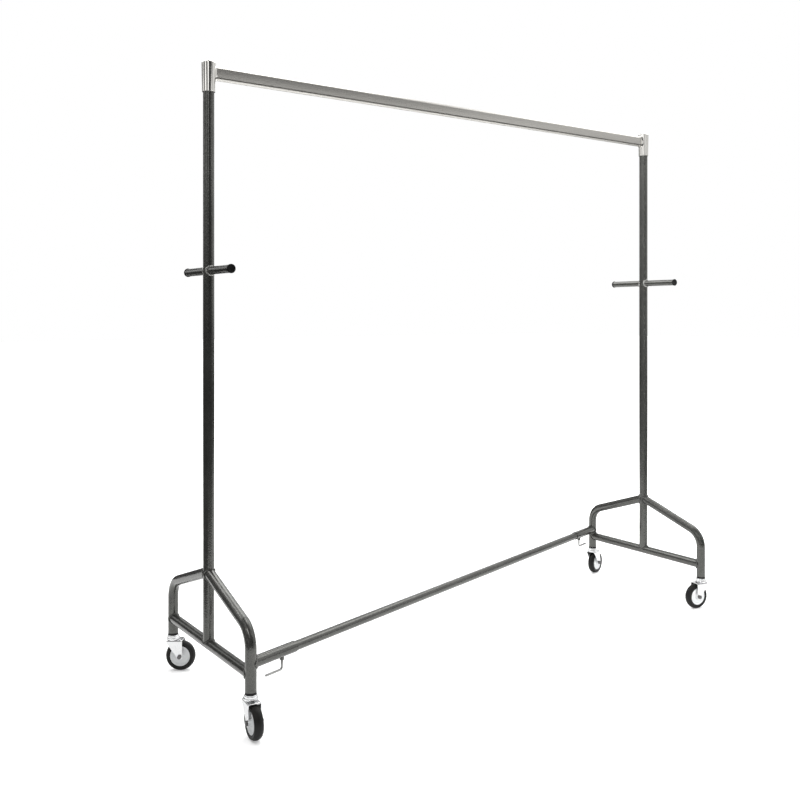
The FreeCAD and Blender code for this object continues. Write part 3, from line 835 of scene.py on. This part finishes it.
# Set screws: two black socket screws in the rear of each fitting, one on the rail and one on the
# upright, which lock the joint.
def black_oxide():
    """Blackened steel with a slight brown bloom."""
    material, tree, shader = new_material("black_steel")
    bloom = object_noise(tree, 500.0, detail=4.0)
    colour = blend_colours(tree, bloom, (0.070, 0.070, 0.072, 1.0), (0.200, 0.195, 0.190, 1.0))
    feed(tree, shader["Base Color"], colour)
    feed(tree, shader["Roughness"], math_node(tree, "MULTIPLY_ADD", bloom, 0.3, 0.25))
    add_bump(tree, shader, bloom, 0.2, 0.00003)
    shader["Metallic"].default_value = 0.8
    return material


black_steel = black_oxide()
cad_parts["fitting_screws"].data.materials.clear()
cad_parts["fitting_screws"].data.materials.append(black_steel)


# Hanging rail: one length of flat oval steel tube, satin nickel plated, drawn lengthwise.
rail_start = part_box("rail")[0][0]
rail_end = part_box("rail")[1][0]


def drawn_nickel():
    """Satin plated tube: lengthwise draw lines, slow tone drift and fine hanger scuffs on top."""
    material, tree, shader = new_material("rail_metal")
    lines = object_noise(tree, 900.0, detail=4.0, stretch=(0.012, 1.0, 1.0))
    drift = object_noise(tree, 5.0, detail=2.0, stretch=(0.5, 1.0, 1.0))
    tone = math_node(tree, "MULTIPLY_ADD", lines, 0.5, math_node(tree, "MULTIPLY", drift, 0.5))
    colour = blend_colours(tree, tone, (0.49, 0.477, 0.445, 1.0), (0.68, 0.665, 0.63, 1.0))
    feed(tree, shader["Base Color"], colour)
    scuffs = object_noise(tree, 260.0, detail=6.0, stretch=(1.0, 0.15, 1.0), roughness=0.7)
    rough = math_node(tree, "MULTIPLY_ADD", lines, 0.16, 0.17)
    feed(tree, shader["Roughness"], math_node(tree, "MULTIPLY_ADD", scuffs, 0.10, rough))
    add_bump(tree, shader, lines, 0.22, 0.00004)
    shader["Metallic"].default_value = 1.0
    return material


rail_rings = []
for x, shrink in ((rail_start, 0.0003), (rail_start + 0.0003, 0.0), (rail_end - 0.0003, 0.0),
                  (rail_end, 0.0003)):
    outline = oval_outline(rail_height - 2 * shrink, rail_width - 2 * shrink, steps=18)
    rail_rings.append([(x, rack_middle.y + y, rail_axis + z) for y, z in outline])
stand("hanging_rail", loft_mesh("hanging_rail", rail_rings), drawn_nickel(), "frame",
      "rail_metal", "rail")


# Caster sockets: a black plastic insert driven into the foot of each leg, of which only the collar
# shows, and the zinc-plated stem whose round flange bears against it.
collar_bottom = 0.120
stem_top = 0.165
head_bottom = 0.0989
head_top = 0.1022
head_radius = 0.0080
pin_radius = 0.0050
flange_bottom = 0.1174
flange_radius = 0.0180
CORNERS = {f"{end_name}_{side_name}": (side, end)
           for side_name, side in SIDES.items() for end_name, end in ENDS.items()}


def leg_foot(corner):
    side, end = CORNERS[corner]
    return rack(side * span / 2, end * depth / 2, 0)


def insert_mesh(name):
    """Collar with eased rims, and the plug inside the leg."""
    ease = 0.0005
    plug = leg_radius - 0.0016
    outline = [(0.0, collar_bottom + 0.001), (0.012, collar_bottom + 0.001),
               (0.0124, collar_bottom), (leg_radius - ease, collar_bottom),
               (leg_radius, collar_bottom + ease), (leg_radius, leg_bottom - ease),
               (leg_radius - ease, leg_bottom), (plug, leg_bottom),
               (plug, stem_top - 0.002), (plug - 0.002, stem_top), (0.0, stem_top)]
    return lathe(name, outline, sides=56)


def stem_mesh(name):
    """Kingpin head, shank, round flange and the stem up inside the insert."""
    ease = 0.0004
    rim = 0.0010
    outline = [(0.0, head_bottom), (head_radius - rim, head_bottom),
               (head_radius, head_bottom + rim), (head_radius, head_top),
               (pin_radius, head_top), (pin_radius, flange_bottom),
               (flange_radius - ease, flange_bottom), (flange_radius, flange_bottom + ease),
               (flange_radius, collar_bottom - ease), (flange_radius - ease, collar_bottom),
               (pin_radius, collar_bottom), (pin_radius, stem_top - 0.001),
               (pin_radius - 0.001, stem_top), (0.0, stem_top)]
    return lathe(name, outline, sides=56)


for corner in CORNERS:
    for name, mesh, material, slot, stands_for in (
            (f"leg_insert_{corner}", insert_mesh("insert"), black_plastic, "black_plastic",
             f"insert_{corner}"),
            (f"caster_stem_{corner}", stem_mesh("stem"), zinc, "zinc", f"stem_{corner}")):
        stand(name, moved(mesh, leg_foot(corner)), material, "frame", slot, stands_for)


# Swivel bearing: a two-step pressed zinc cup turned down over a ring of loose steel balls, which
# run in the groove on top of the fork. The cup is fixed to the leg; the fork turns below it.
cup_radius = 0.0222
cup_upper_radius = 0.0196
cup_bottom = 0.1066
cup_shoulder = 0.1112
cup_underside = 0.1129
cup_top = 0.1174
ball_radius = 0.0024
ball_ring = 0.0155
ball_count = 14
ball_height = 0.1104


def cup_mesh(name):
    """The upper race in two steps, both rims rolled over, the skirt with a curled lip."""
    ease = 0.0009
    outline = [(0.0052, cup_underside), (0.0182, cup_underside), (0.0182, 0.1098),
               (0.0205, 0.1098), (0.0207, 0.1094), (0.0207, cup_bottom + 0.0004),
               (0.0210, cup_bottom), (cup_radius - 0.0004, cup_bottom),
               (cup_radius, cup_bottom + 0.0004)]
    outline += arc_points((cup_radius - ease, cup_shoulder - ease), ease, 0, 90, 6)
    outline += arc_points((cup_upper_radius + 0.0004, cup_shoulder + 0.0004), 0.0004, 270, 180, 4)
    outline += arc_points((cup_upper_radius - ease, cup_top - ease), ease, 0, 90, 6)
    outline += [(0.0052, cup_top)]
    return lathe(name, outline, sides=64, closed=True)


def ball_tree():
    """Equal balls spaced round a circle."""
    tree, given, result = new_tree("ball_ring", {
        "Ball_radius": ball_radius, "Ring_radius": ball_ring, "Count": ball_count})
    circle = add_node(tree, "GeometryNodeMeshCircle",
                      {"Vertices": given["Count"], "Radius": given["Ring_radius"]})
    ball = add_node(tree, "GeometryNodeMeshIcoSphere",
                    {"Subdivisions": 3, "Radius": given["Ball_radius"]})
    spread = add_node(tree, "GeometryNodeInstanceOnPoints",
                      {"Points": circle.outputs["Mesh"], "Instance": ball.outputs["Mesh"]})
    finish_tree(tree, given, result, spread.outputs["Instances"], sharp_angle=60)
    return tree


ball_steel = plated_steel("ball_steel", 0.002, 0.08, 0.05, (0.60, 0.60, 0.61, 1.0),
                          (0.75, 0.75, 0.76, 1.0), 0.00001)
ball_ring_tree = ball_tree()

for corner in CORNERS:
    cup = moved(cup_mesh("cup"), leg_foot(corner))
    stand(f"bearing_cup_{corner}", cup, zinc, "frame", "zinc", f"race_cap_{corner}")
    name = f"bearing_balls_{corner}"
    balls = grow(name, ball_ring_tree, wire_mesh(name, [Vector((0, 0, 0))]), Material=ball_steel)
    moved(balls.data, leg_foot(corner) + Vector((0, 0, ball_height)))
    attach(balls, "frame")
    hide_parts(f"balls_{corner}")


# Forks: pressed from one strip of zinc-plated sheet, bent down on both sides of the wheel. Each
# leg drops straight at the rear and slants back at the front, down to a round eye. The lower ball
# race stands on the crown. Each fork has its own heading.
fork_inner = 0.0180
fork_sheet = 0.0025
fork_front = 0.0190
fork_shoulder = 0.0985
fork_eye = 0.0090
crown_top = 0.105
fork_bend = 0.0042
trail = 0.026
axle_height = 0.050


def caster_heading(corner):
    """The way the wheel trails, from the leg's foot to the middle of its tyre."""
    low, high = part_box(f"tyre_{corner}")
    middle = (Vector(low) + Vector(high)) / 2
    offset = middle - leg_foot(corner)
    return math.atan2(offset.y, offset.x)


def put_at(mesh, corner):
    """Swivel a caster piece, made about the swivel axis, to its heading under its leg."""
    turn = Matrix.Rotation(caster_heading(corner), 4, "Z")
    mesh.transform(Matrix.Translation(leg_foot(corner)) @ turn)
    return mesh


def fork_edges(height):
    """Front and rear edge of the fork leg at a height above the floor."""
    drop = min(abs(height - axle_height), fork_eye * 0.9999)
    half_chord = math.sqrt(fork_eye ** 2 - drop ** 2)
    rear = trail + (fork_eye if height >= axle_height else half_chord)
    if height >= fork_shoulder:
        return -fork_front, rear
    run = Vector((-fork_front - trail, fork_shoulder - axle_height))
    angle = math.atan2(run.y, run.x) + math.acos(fork_eye / run.length)
    touch_x = trail + fork_eye * math.cos(angle)
    touch_z = axle_height + fork_eye * math.sin(angle)
    if height >= touch_z:
        share = (height - touch_z) / (fork_shoulder - touch_z)
        return touch_x + (-fork_front - touch_x) * share, rear
    return trail - half_chord, rear


def fork_strip_path():
    """(y, z) points of the strip's outer face, from one eye over the crown to the other."""
    outer = fork_inner + fork_sheet
    path = []
    for step in range(13):
        angle = math.radians(8 + 82 * step / 12)
        path.append((-outer, axle_height - fork_eye * math.cos(angle)))
    for step in range(1, 15):
        path.append((-outer, axle_height + (fork_shoulder - axle_height) * step / 14))
    path.append((-outer, crown_top - fork_bend))
    for step in range(1, 9):
        angle = math.radians(180 - 90 * step / 8)
        path.append((-outer + fork_bend + fork_bend * math.cos(angle),
                     crown_top - fork_bend + fork_bend * math.sin(angle)))
    return path + [(-y, z) for y, z in reversed(path)]


def fork_mesh(name):
    """The bent strip with its thickness and softened edges, and the race on its crown."""
    across = 10
    vertices = []
    path = fork_strip_path()
    for y, z in path:
        front, rear = fork_edges(z)
        for step in range(across + 1):
            vertices.append((front + (rear - front) * step / across, y, z))
    corners = [row * (across + 1) + step for row in range(len(path) - 1) for step in range(across)]
    faces = [[first, first + 1, first + across + 2, first + across + 1] for first in corners]
    strip = bpy.data.meshes.new("strip")
    strip.from_pydata(vertices, [], faces)
    work = bmesh.new()
    work.from_mesh(strip)
    bmesh.ops.recalc_face_normals(work, faces=work.faces)
    crown_face = max(work.faces, key=lambda face: face.calc_center_median().z)
    if crown_face.normal.z < 0:
        bmesh.ops.reverse_faces(work, faces=work.faces)
    work.to_mesh(strip)
    work.free()
    blank = bpy.data.objects.new("blank", strip)
    bpy.context.collection.objects.link(blank)
    sheet = blank.modifiers.new("sheet", "SOLIDIFY")
    sheet.thickness = fork_sheet
    sheet.offset = -1
    sheet.use_even_offset = True
    rounding = blank.modifiers.new("rounding", "BEVEL")
    rounding.width = 0.0005
    rounding.segments = 2
    rounding.limit_method = "ANGLE"
    rounding.angle_limit = math.radians(50)
    depsgraph = bpy.context.evaluated_depsgraph_get()
    pressed = bpy.data.meshes.new_from_object(blank.evaluated_get(depsgraph))
    bpy.data.objects.remove(blank)
    tidy_mesh(pressed, sharp_angle=40)
    groove = arc_points((ball_ring, ball_height), ball_radius + 0.0002, 215, 325, 8)
    race = [(0.0110, crown_top - 0.001), (0.0197, crown_top - 0.001), (0.0200, crown_top + 0.0008),
            (0.0190, 0.1074), (0.0186, 0.1079)]
    race += [pair for pair in reversed(groove) if pair[1] < 0.1079]
    race += [(0.0114, 0.1079), (0.0110, 0.1075)]
    return join_meshes(name, [pressed, lathe("race", race, sides=64, closed=True)])


for corner in CORNERS:
    name = f"caster_fork_{corner}"
    stand(name, put_at(fork_mesh(name), corner), zinc, f"fork_{corner}", "zinc", f"fork_{corner}")


# Axles: a blackened hexagon bolt and nut clamp a steel bush between the fork legs, and the hub
# turns on the bush.
axle_radius = 0.004
axle_flats = 0.013
axle_head = 0.0053
axle_nut = 0.0065
axle_stub = 0.002
bush_radius = 0.006


def axle_mesh(name):
    """Bolt with its washer-faced head, threaded stub and nut, along Y through the axle's middle."""
    outer = fork_inner + fork_sheet
    head = turned_to(hex_mesh("head", axle_flats, axle_head), Vector((0, -outer, 0)), (0, -1, 0))
    nut = turned_to(hex_mesh("nut", axle_flats, axle_nut, bore=axle_radius), Vector((0, outer, 0)),
                    (0, 1, 0))
    end = outer + axle_nut + axle_stub
    shank = lathe("shank", [(0.0, -outer - 0.001), (axle_radius - 0.0001, -outer - 0.001),
                            (axle_radius - 0.0001, end - 0.0008), (axle_radius - 0.0009, end),
                            (0.0, end)], sides=36)
    turned_to(shank, Vector((0, 0, 0)), (0, 1, 0))
    return moved(join_meshes(name, [head, nut, shank]), (trail, 0, axle_height))


def bush_mesh(name):
    """A plain steel spacer tube, chamfered at both ends."""
    ease = 0.0003
    half = fork_inner
    outline = [(axle_radius, -half), (bush_radius - ease, -half), (bush_radius, -half + ease),
               (bush_radius, half - ease), (bush_radius - ease, half), (axle_radius, half)]
    bush = turned_to(lathe(name, outline, sides=40, closed=True), Vector((0, 0, 0)), (0, 1, 0))
    return moved(bush, (trail, 0, axle_height))


for corner in CORNERS:
    stand(f"axle_bolt_{corner}", put_at(axle_mesh("axle"), corner), black_steel,
          f"fork_{corner}", "black_steel", f"axle_{corner}")
    stand(f"axle_bush_{corner}", put_at(bush_mesh("bush"), corner), zinc, f"fork_{corner}",
          "zinc", f"bush_{corner}")


# Wheels: a light grey moulded centre with a dished disc, raised rim ring and hub, carrying a solid
# black rubber tyre with rounded shoulders and a mould parting line round its crown.
wheel_radius = 0.050
tyre_inner = 0.0335
tyre_half = 0.0140
tyre_crown_arc = 0.01933
bead_half = 0.0120
hub_radius = 0.012
hub_half = 0.0175
disc_half = 0.0095

wheel_plastic = moulded_plastic("wheel_plastic", 900.0, 0.5, 0.38, (0.56, 0.57, 0.575, 1.0),
                                (0.72, 0.73, 0.735, 1.0), 0.00005, gloss=0.4)


def both_sides(half_outline):
    """Mirror (radius, sideways) pairs to the wheel's other side, in order."""
    return half_outline + [(radius, -sideways) for radius, sideways in reversed(half_outline)]


def wheel_mesh(name):
    """Hub, dish and rim, turned about Z."""
    bore = bush_radius + 0.00006
    half_outline = [(bore, hub_half - 0.0005), (bore + 0.0005, hub_half),
                    (hub_radius - 0.0008, hub_half)]
    half_outline += arc_points((hub_radius - 0.0008, hub_half - 0.0008), 0.0008, 80, 0, 4)
    half_outline += [(hub_radius + 0.0003, disc_half + 0.0016)]
    half_outline += arc_points((hub_radius + 0.0020, disc_half + 0.0016), 0.0016, 190, 270, 5)
    half_outline += [(0.0225, disc_half), (0.0228, disc_half + 0.0006), (0.0236, disc_half + 0.0006),
                     (0.0239, disc_half), (0.0288, disc_half - 0.0002),
                     (0.0298, disc_half + 0.0008), (0.0304, bead_half - 0.0004),
                     (0.0310, bead_half), (tyre_inner, bead_half)]
    return lathe(name, both_sides(half_outline), sides=96, closed=True)


def tyre_mesh(name):
    """Tyre section turned about Z: bead, stepped wall and one round arc over the tread."""
    half_outline = [(tyre_inner, bead_half), (0.0345, 0.0122), (0.0375, 0.0129),
                    (0.0380, 0.0128), (0.0384, 0.0132), (0.0415, 0.0137), (0.0430, tyre_half)]
    half_outline += arc_points((wheel_radius - tyre_crown_arc, 0.0), tyre_crown_arc, 45, 1, 14)
    return lathe(name, both_sides(half_outline), sides=128, closed=True)


def rubber():
    """Black rubber: fine moulded grain and chalky bloom."""
    material, tree, shader = new_material("rubber")
    grain = object_noise(tree, 700.0, detail=5.0)
    bloom = object_noise(tree, 70.0, detail=4.0, roughness=0.6)
    tone = math_node(tree, "MULTIPLY", grain, bloom)
    feed(tree, shader["Base Color"], blend_colours(tree, tone, grey(0.003),
                                                   (0.020, 0.019, 0.017, 1.0)))
    feed(tree, shader["Roughness"], math_node(tree, "MULTIPLY_ADD", bloom, 0.25, 0.36))
    shader["Specular IOR Level"].default_value = 0.25
    add_bump(tree, shader, grain, 0.4, 0.00010)
    return material


black_rubber = rubber()

for corner in CORNERS:
    for name, mesh, material, slot, stands_for in (
            (f"wheel_centre_{corner}", wheel_mesh("wheel"), wheel_plastic, "wheel_plastic",
             f"wheel_{corner}"),
            (f"wheel_tyre_{corner}", tyre_mesh("tyre"), black_rubber, "rubber",
             f"tyre_{corner}")):
        turned_to(mesh, Vector((trail, 0, axle_height)), (0, 1, 0))
        stand(name, put_at(mesh, corner), material, f"wheel_{corner}", slot, stands_for)


# Studio: a pale seamless floor that is white to the lens, a room that is bright to the right and
# dim elsewhere, and soft boxes. The boxes streak the metal; the fills only light matt surfaces.
floor_reach = 40.0


def ramp(tree, value, start, end, first, last):
    """Ease from the first value to the last as the input runs from start to end."""
    return add_node(tree, "ShaderNodeMapRange", {
        "From Min": start, "From Max": end, "To Min": first, "To Max": last, "Value": value},
        interpolation_type="SMOOTHSTEP").outputs["Result"]


def vector_step(tree, operation, first, second=(0.0, 0.0, 0.0)):
    """The outputs of one step on vectors."""
    return add_node(tree, "ShaderNodeVectorMath", {0: first, 1: second},
                    operation=operation).outputs


def pale_floor():
    """Matt white floor that burns out to pure white a little way from the rack; outside the lit area,
    to all but the lens, it is painted dark grey as painted shade.
    """
    material, tree, shader = new_material("pale_floor")
    tone = blend_colours(tree, object_noise(tree, 40.0, detail=2.0), grey(0.84), grey(0.88))
    to_lens = add_node(tree, "ShaderNodeLightPath", {}).outputs["Is Camera Ray"]
    place = add_node(tree, "ShaderNodeTexCoord", {}).outputs["Object"]
    apart = add_node(tree, "ShaderNodeSeparateXYZ", {"Vector": place}).outputs
    spans = []
    for axis, low, high in (("X", -1.9, 4.0), ("Y", -1.8, 3.0)):
        middle = math_node(tree, "SUBTRACT", apart[axis], (low + high) / 2)
        away = math_node(tree, "ABSOLUTE", middle)
        spans.append(math_node(tree, "LESS_THAN", away, (high - low) / 2))
    # Outside the lit area the floor is painted dark grey as painted shade; the lens always sees it
    # pale.
    lit = math_node(tree, "MAXIMUM", math_node(tree, "MULTIPLY", *spans), to_lens)
    feed(tree, shader["Base Color"], blend_colours(tree, lit, grey(0.10), tone))
    shader["Roughness"].default_value = 0.9
    shader["Specular IOR Level"].default_value = 0.0
    burn = ramp(tree, vector_step(tree, "LENGTH", place)["Value"], 1.0, 3.2, 0.30, 1.0)
    shader["Emission Color"].default_value = grey(1.0)
    feed(tree, shader["Emission Strength"], math_node(tree, "MULTIPLY", burn, to_lens))
    return material


floor_mesh = bpy.data.meshes.new("studio_floor")
floor_corners = [(x * floor_reach, y * floor_reach, 0) for x, y in ((-1, -1), (1, -1), (1, 1), (-1, 1))]
floor_mesh.from_pydata(floor_corners, [], [(0, 1, 2, 3)])
floor_mesh.materials.append(pale_floor())
studio_floor = bpy.data.objects.new("studio_floor", floor_mesh)
bpy.context.collection.objects.link(studio_floor)


def studio_world():
    """Plain white to the lens; in reflections bright to the right rear and dim to the front left."""
    world = bpy.data.worlds.new("studio")
    world.use_nodes = True
    tree = world.node_tree
    tree.nodes.clear()
    look = add_node(tree, "ShaderNodeTexCoord", {}).outputs["Generated"]
    level = vector_step(tree, "MULTIPLY", look, (1.0, 1.0, 0.0))["Vector"]
    heading = vector_step(tree, "NORMALIZE", level)["Vector"]
    towards = vector_step(tree, "DOT_PRODUCT", heading, (0.996, 0.087, 0.0))["Value"]
    across = add_node(tree, "ShaderNodeSeparateXYZ", {"Vector": heading}).outputs
    up = add_node(tree, "ShaderNodeSeparateXYZ", {"Vector": look}).outputs["Z"]
    front_dim = ramp(tree, across["Y"], -0.95, -0.60, 0.5, 1.0)
    right_lobe = ramp(tree, towards, 0.44, 0.67, 0.10, 0.85)
    right_side = math_node(tree, "MULTIPLY", right_lobe, front_dim)
    band = math_node(tree, "MULTIPLY", ramp(tree, up, 0.05, 0.11, 0.0, 0.5),
                     ramp(tree, up, 0.17, 0.24, 1.0, 0.0))
    to_left = ramp(tree, across["X"], -0.75, -0.40, 1.0, 0.0)
    sides = math_node(tree, "ADD", right_side, math_node(tree, "MULTIPLY", band, to_left))
    brightness = math_node(tree, "ADD", sides, ramp(tree, up, 0.15, 0.95, 0.0, 0.12))
    room = add_node(tree, "ShaderNodeBackground", {"Color": grey(1.0), "Strength": brightness})
    backdrop = add_node(tree, "ShaderNodeBackground", {"Color": grey(1.0), "Strength": 1.0})
    to_lens = add_node(tree, "ShaderNodeLightPath", {}).outputs["Is Camera Ray"]
    choose = add_node(tree, "ShaderNodeMixShader",
                      {0: to_lens, 1: room.outputs[0], 2: backdrop.outputs[0]})
    add_node(tree, "ShaderNodeOutputWorld", {"Surface": choose.outputs[0]})
    bpy.context.scene.world = world


studio_world()


def soft_box(name, place, target, width, height, brightness, mirrored=True, spread=180):
    """A rectangular lamp of even brightness aimed at a point, both given from the rack's middle."""
    lamp = bpy.data.lights.new(name, "AREA")
    lamp.shape = "RECTANGLE"
    lamp.size = width
    lamp.size_y = height
    lamp.energy = brightness * math.pi * width * height
    lamp.spread = math.radians(spread)
    holder = bpy.data.objects.new(name, lamp)
    bpy.context.collection.objects.link(holder)
    holder.location = rack(*place)
    holder.rotation_mode = "QUATERNION"
    holder.rotation_quaternion = (rack(*target) - rack(*place)).to_track_quat("-Z", "Y")
    holder.visible_camera = False
    holder.visible_glossy = mirrored


for settings in (
        ("soft_box_right", (3.2, -0.2, 4.2), (0, 0, 0.6), 2.4, 2.0, 1.6),
        ("soft_box_far_right", (2.8, 0.9, 3.7), (1.0, 0, 0.4), 1.6, 1.6, 1.6),
        ("soft_box_rear_right", (-0.7, 2.2, 3.5), (-0.8, 0, 0.3), 4.4, 1.6, 3.2),
        ("strip_rear_left", (-3.6, 1.8, 2.9), (-1.0, 0, 1.9), 0.6, 1.6, 1.4),
        ("strip_left", (-4.9, -1.0, 3.0), (-1.0, 0, 1.9), 1.0, 1.6, 1.4),
        ("strip_front_left", (-2.7, -3.1, 2.8), (-1.0, 0, 1.9), 0.9, 1.4, 1.4),
        ("strip_front", (0.5, -3.6, 2.9), (-1.0, 0, 1.9), 1.8, 1.4, 0.10),
        ("strip_front_right", (2.6, -3.4, 2.5), (1.0, 0, 1.9), 1.6, 0.5, 0.9),
        ("panel_front", (0.5, -2.6, 2.33), (1.0, 0, 1.95), 1.6, 0.4, 0.9),
        ("panel_left", (-2.3, -0.4, 2.72), (1.0, 0, 1.95), 2.8, 0.6, 0.9),
        ("panel_above", (0.0, 0.1, 3.8), (-0.9, 0, 1.3), 1.4, 1.4, 3.0),
        ("spot_front_left", (-3.2, -2.6, 3.6), (-1.0, 0, 0.9), 0.6, 0.6, 10.0),
        ("strip_back_left", (-2.4, 4.4, 2.6), (0, 0, 1.7), 0.7, 2.2, 1.2),
        ("strip_back", (0.4, 4.8, 2.6), (0, 0, 1.7), 0.7, 2.2, 1.2),
        ("strip_back_right", (3.4, 3.6, 2.6), (0, 0, 1.7), 0.7, 2.2, 1.2)):
    soft_box(*settings)
soft_box("fill_right_upright", (-0.2, -3.0, 1.9), (1.0, 0, 1.5), 0.8, 0.8, 2.6,
         mirrored=False, spread=36)
soft_box("fill_front", (-2.6, -4.2, 1.6), (0, 0, 0.6), 3.0, 2.5, 1.5, mirrored=False)
soft_box("fill_right_end", (-0.4, -3.2, 1.5), (1.0, 0, 0.9), 1.2, 1.2, 3.2,
         mirrored=False, spread=50)
soft_box("soft_box_above", (0.3, -0.3, 5.0), (0.3, -0.3, 0), 9.0, 8.0, 1.15, mirrored=False)


# Camera: low eye level, from the front left, with the lens shifted down to keep uprights upright.
lens = bpy.data.cameras.new("camera")
lens.sensor_width = 36.0
lens.lens = 41.4
lens.shift_y = -0.106
lens.clip_end = 200.0
camera = bpy.data.objects.new("camera", lens)
bpy.context.collection.objects.link(camera)
camera.location = rack(-2.168, -2.701, 1.202)
camera.rotation_euler = (math.radians(90), 0.0, -0.6085)
bpy.context.scene.camera = camera
bpy.context.scene.view_settings.view_transform = "Standard"
